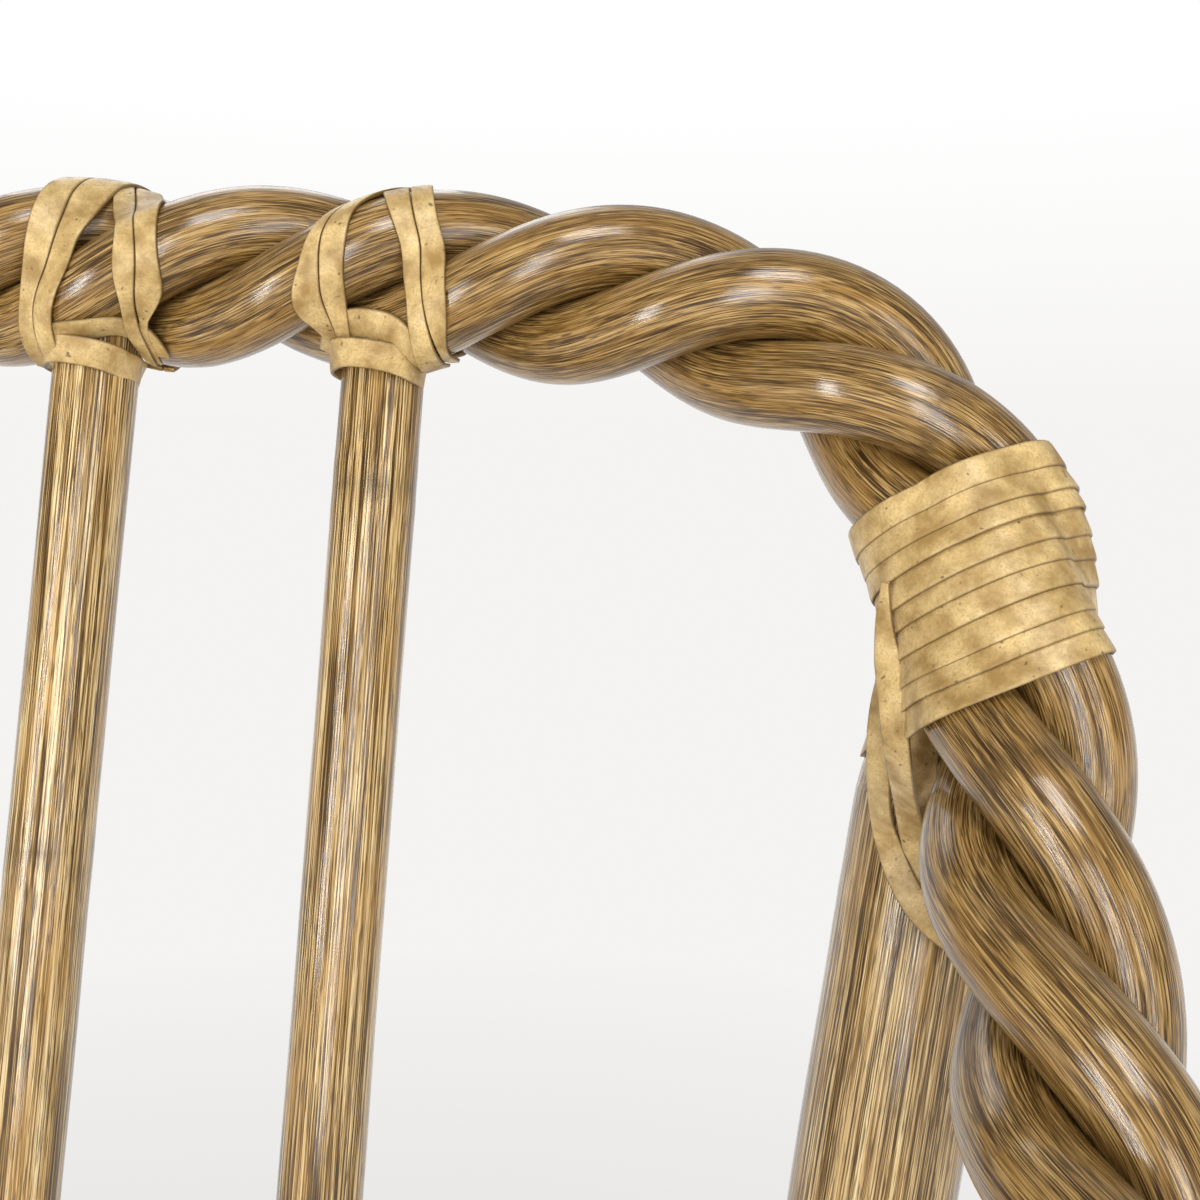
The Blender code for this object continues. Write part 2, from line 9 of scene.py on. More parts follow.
import bpy
import numpy as np
from bpy.props import FloatProperty, FloatVectorProperty, IntProperty, PointerProperty
from mathutils import Matrix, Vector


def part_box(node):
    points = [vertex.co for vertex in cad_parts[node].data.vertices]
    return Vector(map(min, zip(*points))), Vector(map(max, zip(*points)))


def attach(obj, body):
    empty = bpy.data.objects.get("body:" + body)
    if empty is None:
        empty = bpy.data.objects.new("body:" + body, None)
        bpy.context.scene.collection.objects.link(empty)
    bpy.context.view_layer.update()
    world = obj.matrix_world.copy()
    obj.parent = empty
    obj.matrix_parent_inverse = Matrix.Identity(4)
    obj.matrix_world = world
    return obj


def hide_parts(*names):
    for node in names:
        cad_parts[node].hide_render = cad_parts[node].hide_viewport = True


bl_info = {
    "name": "Rattan lounge chair",
    "version": (1, 0, 0),
    "blender": (4, 5, 0),
    "location": "View3D > Sidebar > Rattan chair",
    "description": "Builds a rattan lounge chair with a twisted rail and leather lashings",
    "category": "Add Mesh",
}

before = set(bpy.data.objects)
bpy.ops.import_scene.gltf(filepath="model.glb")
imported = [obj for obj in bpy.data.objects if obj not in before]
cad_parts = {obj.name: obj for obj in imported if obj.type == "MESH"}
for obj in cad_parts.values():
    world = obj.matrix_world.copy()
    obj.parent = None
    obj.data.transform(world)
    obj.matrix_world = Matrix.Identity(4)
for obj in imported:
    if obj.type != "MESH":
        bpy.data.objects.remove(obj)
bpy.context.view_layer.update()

# The route of the rail's right half from its middle: steps right, forward (negative), down (negative)
RAIL_KNOTS = (
    (0.000, 0.000, 0.000), (0.075, 0.000, 0.000), (0.150, 0.000, 0.000), (0.232, -0.009, -0.005),
    (0.2915, -0.028, -0.0255), (0.3175, -0.044, -0.064), (0.322, -0.072, -0.112),
    (0.3225, -0.122, -0.159), (0.328, -0.200, -0.196), (0.334, -0.330, -0.213),
    (0.337, -0.480, -0.216), (0.337, -0.580, -0.217), (0.335, -0.680, -0.228),
)
RAIL_SAMPLES = 3201
RAIL_HEIGHT = 0.800
SEAT_RAIL_HEIGHT = 0.345
STRAND_COUNT = 3

# Posts. The rear post's top stands off the rail's axis by both radii and a gap, in the lean's direction
CORNER_AT = 0.343
CORNER_LEAN = (0.295, 0.955, 0.0)
POST_TOP_REACH = 0.0222 + 0.020 + 0.0014
POST_TOP_RISE = 0.012
POST_SAMPLES = 601
POST_END_SAMPLES = 16
POST_TRIM = 0.10
POST_TRIM_BELOW_RAIL = (0.130, 0.108)
REAR_POST_KNEE = (0.2668, -0.055)
REAR_POST_FOOT = (0.290, -0.012)
FRONT_POST_FOOT = (0.308, -0.596)
ARM_OVERHANG = 0.082
FLOOR_TO_POST = 0.0085

# Distances of a spindle's foot and head from the chair's middle, from the inner spindle out
SPINDLES = ((0.027, 0.0375), (0.0822, 0.1092), (0.1573, 0.1809))
SPINDLE_TENON = 0.008
# Distances of joints from the foot on the spindles that the photo shows
SEEN_JOINTS = {"back_spindle_5": (0.070, 0.305), "back_spindle_6": (0.150, 0.395)}

MM = 0.001
SIDES = (("left", -1.0), ("right", 1.0))
UP = np.array((0.0, 0.0, 1.0))
RIGHT = np.array((1.0, 0.0, 0.0))
FRONT = np.array((0.0, -1.0, 0.0))

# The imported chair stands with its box's middle over the origin; a glide tells how far it was moved
FRONT_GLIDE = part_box("foot_glide_front_right")
CHAIR_SHIFT = (FRONT_GLIDE[0].y + FRONT_GLIDE[1].y) / 2 - FRONT_POST_FOOT[1]
RAIL_MIDDLE = np.array((0.0, CHAIR_SHIFT, RAIL_HEIGHT))


def linear(code):
    """An sRGB hex value as linear red, green and blue."""
    srgb = np.array([int(code[i:i + 2], 16) / 255 for i in (1, 3, 5)])
    return tuple(np.where(srgb <= 0.04045, srgb / 12.92, ((srgb + 0.055) / 1.055) ** 2.4))


def length_property(name, default, description):
    """A length in metres that a user can change."""
    return FloatProperty(name=name, description=description, default=default, min=0.0, unit="LENGTH",
                         precision=4)


def colour_property(name, code, description):
    """A colour that a user can change, given as sRGB hex."""
    return FloatVectorProperty(name=name, description=description, default=linear(code), size=3,
                               min=0.0, max=1.0, subtype="COLOR")


class ChairSizes(bpy.types.PropertyGroup):
    """Sizes of the rail, the poles and the leather strip."""

    strand: length_property("Strand", 0.0199, "Diameter of one pole of the twisted rail")
    pitch: length_property("Twist pitch", 0.139, "Length of rail in which a strand goes once round")
    phase: FloatProperty(name="Twist start", description="Where the first strand lies at the rail's middle",
                         default=math.radians(69.0), subtype="ANGLE")
    strip: length_property("Strip width", 0.0057, "Width of the leather strip")
    leather: length_property("Strip thickness", 0.0011, "Thickness of the leather strip")
    corner_turns: IntProperty(name="Corner turns", description="Turns of strip round each corner",
                              default=9, min=3, max=14)


class ChairColours(bpy.types.PropertyGroup):
    """Colours of the rattan, the leather and the glides."""

    strand_bright: colour_property("Strand, bright lines", "#c5a46c", "Brightest lines of the twisted poles")
    strand_pale: colour_property("Strand, pale", "#a5834c", "Pale tone of the twisted poles")
    strand_deep: colour_property("Strand, deep", "#7c5d2e", "Deep tone of the twisted poles")
    strand_amber: colour_property("Strand, amber", "#a57b3c", "Warm patches of the twisted poles")
    strand_streak: colour_property("Strand, streaks", "#3b2812", "Stained pores of the twisted poles")
    pole_bright: colour_property("Pole, bright lines", "#f0dba8", "Brightest lines of the straight poles")
    pole_pale: colour_property("Pole, pale", "#d2b078", "Pale tone of the straight poles")
    pole_deep: colour_property("Pole, deep", "#83622f", "Deep tone of the straight poles")
    pole_amber: colour_property("Pole, amber", "#c99c58", "Warm patches of the straight poles")
    pole_streak: colour_property("Pole, streaks", "#3c290b", "Stained pores of the straight poles")
    leather_pale: colour_property("Leather, pale", "#e2c488", "Pale tone of the leather strip")
    leather_deep: colour_property("Leather, deep", "#a4834a", "Deep tone of the leather strip")
    # This colour also paints the shade at the strips' edges where turns meet, besides the specks and the cut
    # edges' stain
    leather_speck_and_shade: colour_property("Leather, specks", "#5e4524", "Specks and cut edges of the strip")
    glide: colour_property("Glide", "#3a2c20", "Nylon of the foot glides")
    backdrop: colour_property("Backdrop", "#f4f3f1", "Paper behind and under the chair")


class ChairSettings(bpy.types.PropertyGroup):
    """All settings of the chair."""

    sizes: PointerProperty(type=ChairSizes)
    colours: PointerProperty(type=ChairColours)


# Vectors and paths
def unit(vectors):
    """Vectors scaled to length one."""
    vectors = np.asarray(vectors, float)
    return vectors / np.linalg.norm(vectors, axis=-1, keepdims=True)


def square_to(vectors, axes):
    """The part of each vector that is square to its axis, scaled to length one."""
    return unit(vectors - np.sum(vectors * axes, axis=-1, keepdims=True) * axes)


def ease(values, low, high):
    """Rises smoothly from 0 at low to 1 at high."""
    share = np.clip((values - low) / (high - low), 0.0, 1.0)
    return share * share * (3 - 2 * share)


def path_lengths(points):
    """Distances along a path from its first point to each point."""
    steps = np.linalg.norm(np.diff(points, axis=0), axis=1)
    return np.concatenate(([0.0], np.cumsum(steps)))


def read_along(places, at, table):
    """A table of vectors given at rising numbers, read in straight steps at places."""
    return np.stack([np.interp(places, at, table[:, i]) for i in range(3)], axis=-1)


def spline_at(at, values, places):
    """A natural cubic spline through values given at rising numbers, read at places."""
    at = np.asarray(at, float)
    values = np.asarray(values, float)
    flat = values.ndim == 1
    values = values.reshape(len(at), -1)
    step = np.diff(at)
    system = np.eye(len(at))
    inner = np.arange(1, len(at) - 1)
    system[inner, inner - 1] = step[:-1]
    system[inner, inner] = 2 * (step[:-1] + step[1:])
    system[inner, inner + 1] = step[1:]
    slope = np.diff(values, axis=0) / step[:, None]
    bend = np.zeros_like(values)
    bend[1:-1] = 6 * np.diff(slope, axis=0)
    second = np.linalg.solve(system, bend)
    k = np.clip(np.searchsorted(at, places) - 1, 0, len(at) - 2)
    span = step[k][:, None]
    before = (places - at[k])[:, None]
    after = (at[k + 1] - places)[:, None]
    cubic = (second[k] * after ** 3 + second[k + 1] * before ** 3) / (6 * span)
    start = (values[k] / span - second[k] * span / 6) * after
    finish = (values[k + 1] / span - second[k + 1] * span / 6) * before
    read = cubic + start + finish
    return read[:, 0] if flat else read


def natural_spline(knots, count):
    """A cubic curve through the knots with free ends, read at even steps of chord length."""
    knots = np.asarray(knots, float)
    at = path_lengths(knots)
    return spline_at(at, knots, np.linspace(0.0, at[-1], count))


def carried(first, tangents):
    """A direction carried along a path, without turning round it by itself.

    Each step takes out only what lies along the new tangent.
    """
    directions = np.empty_like(tangents)
    for i, tangent in enumerate(tangents):
        first = directions[i] = square_to(first, tangent)
    return directions


class Rail:
    """The twisted rail's axis: points, lengths, tangents and two directions square to it.

    The front direction is carried both ways from the middle of the back.
    """

    def __init__(self):
        half = np.array(RAIL_KNOTS)
        knots = np.vstack((half[:0:-1] * (-1.0, 1.0, 1.0), half))
        self.points = natural_spline(knots, RAIL_SAMPLES) + RAIL_MIDDLE
        middle = RAIL_SAMPLES // 2
        self.lengths = path_lengths(self.points)
        self.lengths -= self.lengths[middle]
        self.end = self.lengths[-1]
        self.tangents = unit(np.gradient(self.points, axis=0))
        self.fronts = np.concatenate((carried(FRONT, self.tangents[middle::-1])[:0:-1],
                                      carried(FRONT, self.tangents[middle:])))
        self.downs = np.cross(self.tangents, self.fronts)

    def at(self, lengths, table):
        """A table along the rail, read at lengths."""
        return read_along(lengths, self.lengths, table)


def chair():
    """The chair's sizes and its rail."""
    return bpy.context.scene.rattan_chair.sizes, Rail()


def lay_radius(diameter, pitch):
    """How far a strand's centreline lies from the rail's axis when the strands just touch.

    Two neighbouring helices come closest where one is a little ahead along the axis. The radius at which
    that distance is one diameter is found by halving.
    """
    ahead = np.linspace(-pitch / 4, pitch / 4, 801)
    angle = 2 * np.pi / STRAND_COUNT + 2 * np.pi * ahead / pitch
    low, high = diameter / 2, diameter
    for _ in range(40):
        middle = (low + high) / 2
        nearest = np.sqrt(2 * middle ** 2 * (1 - np.cos(angle)) + ahead ** 2).min()
        low, high = (middle, high) if nearest < diameter else (low, middle)
    return high


def strand_line(rail, k, lengths, sizes):
    """Strand k: a left-handed helix round the rail's axis, with its outward directions."""
    turn = (sizes.phase + 2 * np.pi * k / STRAND_COUNT - 2 * np.pi * lengths / sizes.pitch)[:, None]
    outward = np.cos(turn) * rail.at(lengths, rail.fronts) + np.sin(turn) * rail.at(lengths, rail.downs)
    return rail.at(lengths, rail.points) + lay_radius(sizes.strand, sizes.pitch) * outward, outward


def strand_tubes(rail, sizes):
    """The strands as centrelines with their radius."""
    return [(strand_line(rail, k, rail.lengths, sizes)[0], sizes.strand / 2) for k in range(STRAND_COUNT)]


def straight_line(node):
    """Centreline and radius of a straight CAD pole: its longest direction through its middle."""
    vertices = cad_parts[node].data.vertices
    points = np.empty(3 * len(vertices), np.float32)
    vertices.foreach_get("co", points)
    points = np.unique(points.reshape(-1, 3).astype(float).round(6), axis=0)
    middle = (points.min(axis=0) + points.max(axis=0)) / 2
    direction = np.linalg.svd(points - points.mean(axis=0), full_matrices=False)[2][0]
    direction = direction * np.sign(direction[np.argmax(np.abs(direction))])
    along = (points - middle) @ direction
    radius = np.linalg.norm(points - middle - np.outer(along, direction), axis=1).max()
    return middle + np.outer(np.linspace(along.min(), along.max(), 401), direction), radius


def spindle_line(number):
    """Centreline and radius of a back spindle, numbered from the left.

    It stands as in the CAD, and moves sideways evenly from its foot at the seat rail to its head.
    """
    line, radius = straight_line(f"back_spindle_{number}")
    foot, head = SPINDLES[max(number - 4, 3 - number)]
    share = (line[:, 2] - SEAT_RAIL_HEIGHT) / (RAIL_HEIGHT - SEAT_RAIL_HEIGHT)
    line[:, 0] = (foot + (head - foot) * share) * (1.0 if number > 3 else -1.0)
    return line, radius


def rear_post_line(rail, sign):
    """A rear post's centreline: from its foot through the knee at the seat, then straight to the corner."""
    top = rail.at(CORNER_AT, rail.points) + unit(CORNER_LEAN) * POST_TOP_REACH
    knee = np.array((REAR_POST_KNEE[0], REAR_POST_KNEE[1] + CHAIR_SHIFT, SEAT_RAIL_HEIGHT))
    foot = np.array((REAR_POST_FOOT[0], REAR_POST_FOOT[1] + CHAIR_SHIFT, FLOOR_TO_POST))
    over = top + unit(top - knee) * POST_TOP_RISE
    knots = (foot, knee, knee + (top - knee) / 3, knee + (top - knee) * 2 / 3, over)
    return natural_spline(np.array(knots) * (sign, 1.0, 1.0), POST_SAMPLES)


def necking(line):
    """How much of a rear post's thickness is left: it is trimmed a little under the corner binding."""
    start, full = (RAIL_HEIGHT - below for below in POST_TRIM_BELOW_RAIL)
    return 1 - POST_TRIM * ease(line[:, 2], start, full)


def post_lines(rail):
    """Centrelines and radii of the rear and front posts, by place and side."""
    lines = {}
    for side, sign in SIDES:
        front, radius = straight_line(f"front_post_{side}")
        lines["front", side] = front, radius
        lines["rear", side] = rear_post_line(rail, sign), radius
    return lines


# Meshes
def add_piece(name, shells, looks, nodes, attributes=None, sharp=50.0):
    """One object made of closed skins through rings of points, riding on the frame.

    Each shell is an array of rings by points. Its quads join neighbours along and round it, and its two
    ends are closed by a flat face with the second material, if there is one. A shell that is inside out
    has its rings turned round: the sum over its faces of point dot normal gives six times its volume.
    """
    points = []
    faces = []
    caps = []
    offset = 0
    for rings in shells:
        rows, columns = rings.shape[:2]
        index = offset + np.arange(rows * columns).reshape(rows, columns)
        beside = np.roll(index, -1, axis=1)
        corners = np.stack((index[:-1], beside[:-1], beside[1:], index[1:]), axis=-1).reshape(-1, 4)
        flat = rings.reshape(-1, 3)
        local = flat - flat.mean(axis=0)
        a, b, c, d = (local[corners[:, i] - offset] for i in range(4))
        volume = np.sum(a * np.cross(b, c)) + np.sum(a * np.cross(c, d))
        ends = [index[0, ::-1], index[-1]]
        if volume < 0:
            corners = corners[:, ::-1]
            ends = [end[::-1] for end in ends]
        points.append(flat)
        faces.extend(corners.tolist())
        caps.extend(end.tolist() for end in ends)
        offset += len(flat)
    mesh = bpy.data.meshes.new(name)
    mesh.from_pydata(np.concatenate(points), [], faces + caps)
    for finish in looks:
        mesh.materials.append(finish)
    slots = np.zeros(len(mesh.polygons), np.int32)
    slots[len(faces):] = len(looks) - 1
    mesh.polygons.foreach_set("material_index", slots)
    for key, (kind, values) in (attributes or {}).items():
        made = mesh.attributes.new(key, kind, "POINT")
        made.data.foreach_set("vector" if kind == "FLOAT_VECTOR" else "value",
                              np.asarray(values, np.float32).ravel())
    mesh.shade_smooth()
    mesh.set_sharp_from_angle(angle=math.radians(sharp))
    mesh.validate()
    piece = bpy.data.objects.new(name, mesh)
    bpy.context.scene.collection.objects.link(piece)
    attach(piece, "root")
    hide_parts(*nodes)
    return piece


# Rattan poles. A joint is a ring where a leaf grew: a swelling, with a wavy line sunk in its middle
POLE_SIDES = 40
POLE_STEP = 0.005
STRAND_STEP = 0.0021
END_EDGE = 0.0022
JOINT_GAP = 0.24
JOINT_GAP_CHANGE = 0.05
SWELL_REACH = 0.006
SWELL_HEIGHT = 0.00022
LINE_REACH = 0.0024
LINE_DEPTH = 0.00020


def stations(length, step):
    """Distances along a pole: close together over its rounded ends, then at even steps."""
    edge = END_EDGE * (1 - np.cos(np.linspace(0, np.pi / 2, 7)))
    even = np.linspace(END_EDGE, length - END_EDGE, max(int(length / step), 2) + 1)
    return np.concatenate((edge[:-1], even, (length - edge[:-1])[::-1]))


def joints_along(seed):
    """Where a pole's joints lie: a natural spacing that changes from one internode to the next."""
    gaps = JOINT_GAP + JOINT_GAP_CHANGE * np.sin(np.arange(12) * 2.4 + seed * 1.9)
    return np.cumsum(gaps) - JOINT_GAP * ((seed * 0.618) % 1.0)


def pole_skin(centres, firsts, distances, radius, joints, seed):
    """Rings of a rattan pole, its straightened coordinates and how near each point is to a joint's line.

    The radius eases in over a quarter circle at each end, swells a little on both sides of a joint,
    dips on the joint's wavy line and wanders by about a hundredth along the pole.
    """
    tangents = unit(np.gradient(centres, distances, axis=0))
    firsts = square_to(firsts, tangents)
    seconds = np.cross(tangents, firsts)
    from_end = np.clip(np.minimum(distances, distances[-1] - distances), 0, END_EDGE)
    radii = radius - END_EDGE + np.sqrt(END_EDGE ** 2 - (END_EDGE - from_end) ** 2)
    turn = 2 * np.pi * np.arange(POLE_SIDES) / POLE_SIDES
    wave = 0.0012 * np.sin(turn + seed) + 0.0007 * np.sin(3 * turn + 2 * seed)
    apart = (distances[:, None] + wave)[..., None] - np.asarray(joints)
    swell = np.exp(-(apart / SWELL_REACH) ** 2).sum(axis=2)
    line = np.exp(-(apart / LINE_REACH) ** 2).sum(axis=2)
    wander = np.sin(distances * 37 + seed) + np.sin(distances * 83 + 2.3 * seed)
    radii = (radii * (1 + 0.0045 * wander))[:, None] + SWELL_HEIGHT * swell - LINE_DEPTH * line
    oval = 1 + 0.006 * np.cos(2 * turn[None, :] + seed + distances[:, None] * 9)
    reach = (radii * oval)[..., None]
    cosine = np.cos(turn)[None, :, None]
    sine = np.sin(turn)[None, :, None]
    rings = centres[:, None] + reach * (cosine * firsts[:, None] + sine * seconds[:, None])
    unbent = np.broadcast_to(distances[:, None, None] + 1.7 * seed, (*rings.shape[:2], 1))
    unbent = np.concatenate((reach * cosine, reach * sine, unbent), axis=2)
    return rings, unbent, line


def add_rattan(name, node, looks, skin):
    """A rattan pole from its skin, in place of a CAD node."""
    rings, unbent, near = skin
    add_piece(name, [rings], looks, [node],
              {"unbent": ("FLOAT_VECTOR", unbent), "joint": ("FLOAT", near)})


def add_pole(name, line, radius, looks, seed, joints=None):
    """A rattan pole along a centreline, in place of the CAD node of the same name."""
    along = path_lengths(line)
    distances = stations(along[-1], POLE_STEP)
    centres = read_along(distances, along, line)
    upright = abs(line[-1, 2] - line[0, 2]) > 0.8 * along[-1]
    firsts = np.broadcast_to(FRONT if upright else UP, centres.shape)
    joints = joints_along(seed) if joints is None else joints
    radius = radius * necking(centres) if name.startswith("rear_post") else radius
    skin = pole_skin(centres, firsts, distances, radius, joints, seed)
    add_rattan(f"rattan_{name}", name, looks, skin)


# Leather
SECTION_POINTS = 16
TURN_STEPS = 96


def strip_section():
    """The strip's cut face: across from -0.5 to 0.5 and up from 0 to 1, a square with rounded corners."""
    turn = 2 * np.pi * (np.arange(SECTION_POINTS) + 0.5) / SECTION_POINTS
    across = 0.5 * np.sign(np.cos(turn)) * np.abs(np.cos(turn)) ** 0.30
    up = 0.5 + 0.5 * np.sign(np.sin(turn)) * np.abs(np.sin(turn)) ** 0.55
    return across, up


def bridged(rows, wide, smooth):
    """Hollows along the first axis filled: each row's greatest neighbour, the least of those, then a mean."""
    for pick, reach in ((np.max, wide), (np.min, wide), (np.mean, smooth)):
        padded = np.pad(rows, ((reach, reach), (0, 0)), "edge")
        rows = pick(np.lib.stride_tricks.sliding_window_view(padded, 2 * reach + 1, axis=0), axis=-1)
    return rows


class Wrap:
    """The outline that a tight strip follows round one pole or several together.

    Planes stand along an axis. A pole is a row of balls, and a ball cuts a plane in a disc. The outline is
    the hull of the discs near the plane's middle: its reach in some direction is the least, over all
    tangent lines, of the line's distance divided by the cosine of the angle between the two.
    """

    TURNS = 144
    NEAR = 0.075
    LEAST_COSINE = 0.12

    def __init__(self, places, middles, axes, toward, tubes):
        self.places = places
        self.middles = middles
        axes = np.broadcast_to(axes, middles.shape)
        self.firsts = square_to(np.broadcast_to(toward, middles.shape), axes)
        self.seconds = np.cross(axes, self.firsts)
        turn = 2 * np.pi * np.arange(self.TURNS) / self.TURNS
        outward = (np.cos(turn)[None, :, None] * self.firsts[:, None]
                   + np.sin(turn)[None, :, None] * self.seconds[:, None])
        lines = np.full((len(places), self.TURNS), -np.inf)
        for centres, radius in tubes:
            offset = centres[None] - middles[:, None]
            close = np.linalg.norm(offset, axis=2).min(axis=0) < self.NEAR
            offset = offset[:, close]
            radius = np.broadcast_to(radius, len(centres))[close]
            height = np.einsum("pnc,pc->pn", offset, axes)
            disc = np.sqrt(np.maximum(radius ** 2 - height ** 2, 0.0))
            cut = (np.abs(height) < radius) & (np.linalg.norm(offset, axis=2) < self.NEAR)
            line = np.einsum("ptc,pnc->ptn", outward, offset) + disc[:, None]
            lines = np.maximum(lines, np.where(cut[:, None], line, -np.inf).max(axis=2))
        tilt = np.cos(turn[:, None] - turn[None, :])
        usable = np.where(tilt > self.LEAST_COSINE, tilt, np.nan)
        self.reach = np.nanmin(lines[:, None, :] / usable[None], axis=2)

    def point(self, places, angles, lift):
        """A point on the outline, lifted off it along the direction from the plane's middle."""
        row = np.interp(places, self.places, np.arange(len(self.places)))
        i = np.clip(row.astype(int), 0, len(self.places) - 2)
        u = row - i
        column = (angles / (2 * np.pi) * self.TURNS) % self.TURNS
        j = column.astype(int) % self.TURNS
        v = column - np.floor(column)
        k = (j + 1) % self.TURNS
        reach = ((1 - u) * ((1 - v) * self.reach[i, j] + v * self.reach[i, k])
                 + u * ((1 - v) * self.reach[i + 1, j] + v * self.reach[i + 1, k]))
        u = u[..., None]
        middle, first, second = ((1 - u) * table[i] + u * table[i + 1]
                                 for table in (self.middles, self.firsts, self.seconds))
        outward = np.cos(angles)[..., None] * first + np.sin(angles)[..., None] * second
        return middle + (reach + lift)[..., None] * outward, reach

    def strip(self, places, angles, sizes, lift, tilt=0.0, wide=1.0):
        """Rings of a flat strip laid on the outline along a path of places and angles.

        The strip's cut face is carried along the path, square to it on the rolled-out outline. A tilt
        lifts one edge over the other, as where a turn lies half on the turn before it.
        """
        across, up = strip_section()
        _, reach = self.point(places, angles, np.zeros_like(places))
        run = np.gradient(places)
        swing = reach * np.gradient(angles)
        size = np.hypot(run, swing)
        shift = (wide * sizes.strip * across)[None, :]
        place = places[:, None] - (swing / size)[:, None] * shift
        angle = angles[:, None] + (run / size / reach)[:, None] * shift
        leaning = np.reshape(tilt, (-1, 1)) * (0.5 - across)
        height = np.broadcast_to(lift + leaning + sizes.leather * up, place.shape)
        return self.point(place, angle, height)[0]


def rail_wrap(rail, tubes, start, end, toward):
    """The outline of the twisted rail between two lengths, with angles from a direction towards below."""
    places = np.linspace(start, end, int((end - start) / MM) + 2)
    middles = rail.at(places, rail.points)
    return Wrap(places, middles, unit(rail.at(places, rail.tangents)), toward, tubes)


def straight_wrap(start, end, count, middle, axis, toward, tubes):
    """The outline round tubes along a straight axis, between two distances from a middle point."""
    places = np.linspace(start, end, count)
    return Wrap(places, middle + places[:, None] * axis, axis, toward, tubes)


def winding(wrap, start, pitch, turns, sizes, lift=0.0002, tilt=0.0, begin=0.0, wide=1.0, uneven=1.0):
    """One strip wound round an outline: each turn moves it on by the pitch, a little unevenly."""
    turn = begin + 2 * np.pi * np.linspace(0.0, turns, int(turns * TURN_STEPS) + 1)
    stray = uneven * (0.05 * np.sin(0.37 * turn + start * 90) + 0.04 * np.sin(0.81 * turn))
    place = start + pitch * (turn - begin) / (2 * np.pi) + pitch * stray
    tilts = tilt * (1 + 0.5 * np.sin(1.3 * turn) * np.sin(0.47 * turn))
    return wrap.strip(place, turn, sizes, lift, tilts, wide)


def ribbon(points, normals, sizes, wide=1.0):
    """Rings of a flat strip along free points, thin along the normals and lying on their outer side."""
    tangents = unit(np.gradient(points, axis=0))
    sideways = unit(np.cross(normals, tangents))
    outward = np.cross(tangents, sideways)
    across, up = strip_section()
    across = np.reshape(wide, (-1, 1)) * sizes.strip * across
    return (points[:, None] + across[..., None] * sideways[:, None]
            + (sizes.leather * up)[None, :, None] * outward[:, None])


def add_leather(name, shells, nodes):
    """Leather strips as one piece, each with its position across the strip for the darker edges: the stain of
    the cut edge and painted shade where strips meet.
    """
    across, _ = strip_section()
    # How near each point is to the strip's edge: the darker edges are the cut's stain and painted shade where
    # turns meet
    edge = np.concatenate([np.broadcast_to(2 * np.abs(across), shell.shape[:2]).ravel() for shell in shells])
    add_piece(name, shells, [leather_look()], nodes, {"edge": ("FLOAT", edge)}, sharp=70.0)


# Materials
def fill(node, inputs):
    """Sets or links a node's inputs, by name or number."""
    for key, value in inputs.items():
        if isinstance(value, bpy.types.NodeSocket):
            node.id_data.links.new(value, node.inputs[key])
        else:
            node.inputs[key].default_value = value


def add_node(tree, kind, inputs=None, out=0, **settings):
    """Adds a node, sets its properties, sets or links its inputs, and gives one of its outputs."""
    made = tree.nodes.new(f"ShaderNode{kind}")
    for key, value in settings.items():
        setattr(made, key, value)
    fill(made, inputs or {})
    return made.outputs[out]


def kept_look(name, paint, *details):
    """The material of that name, painted the first time that it is asked for."""
    made = bpy.data.materials.get(name)
    if made is None:
        made = bpy.data.materials.new(name)
        made.use_nodes = True
        paint(made.node_tree, made.node_tree.nodes["Principled BSDF"], *details)
    return made


def colours():
    """The colours that the sidebar shows."""
    return bpy.context.scene.rattan_chair.colours


def patterns(tree, place, *sizes):
    """Cloudy patterns with cells so many millimetres across, in X and Y, and along, in Z.

    After these two sizes come a pattern's detail, its roughness and how far it is drawn out of shape.
    """
    made = []
    for across, along, detail, rough, twist in sizes:
        scale = tuple(1 / (MM * size) for size in (across, across, along))
        cells = add_node(tree, "Mapping", {"Vector": place, "Scale": scale})
        made.append(add_node(tree, "TexNoise", {
            "Vector": cells, "Scale": 1.0, "Detail": detail, "Roughness": rough, "Distortion": twist}))
    return made


def coated(tree, ground, *coats):
    """A ground colour under coats of other tones.

    A coat has a pattern, two of its numbers, a strength and a tone. It covers nothing where the pattern is
    at the first number, and as much as its strength where it is at the second.
    """
    colour = (*ground, 1.0)
    for pattern, bare, full, strength, tone in coats:
        share = add_node(tree, "MapRange", {
            "Value": pattern, "From Min": bare, "From Max": full, "To Max": strength})
        colour = add_node(tree, "Mix", {0: share, 6: colour, 7: (*tone, 1.0)}, 2, data_type="RGBA")
    return colour


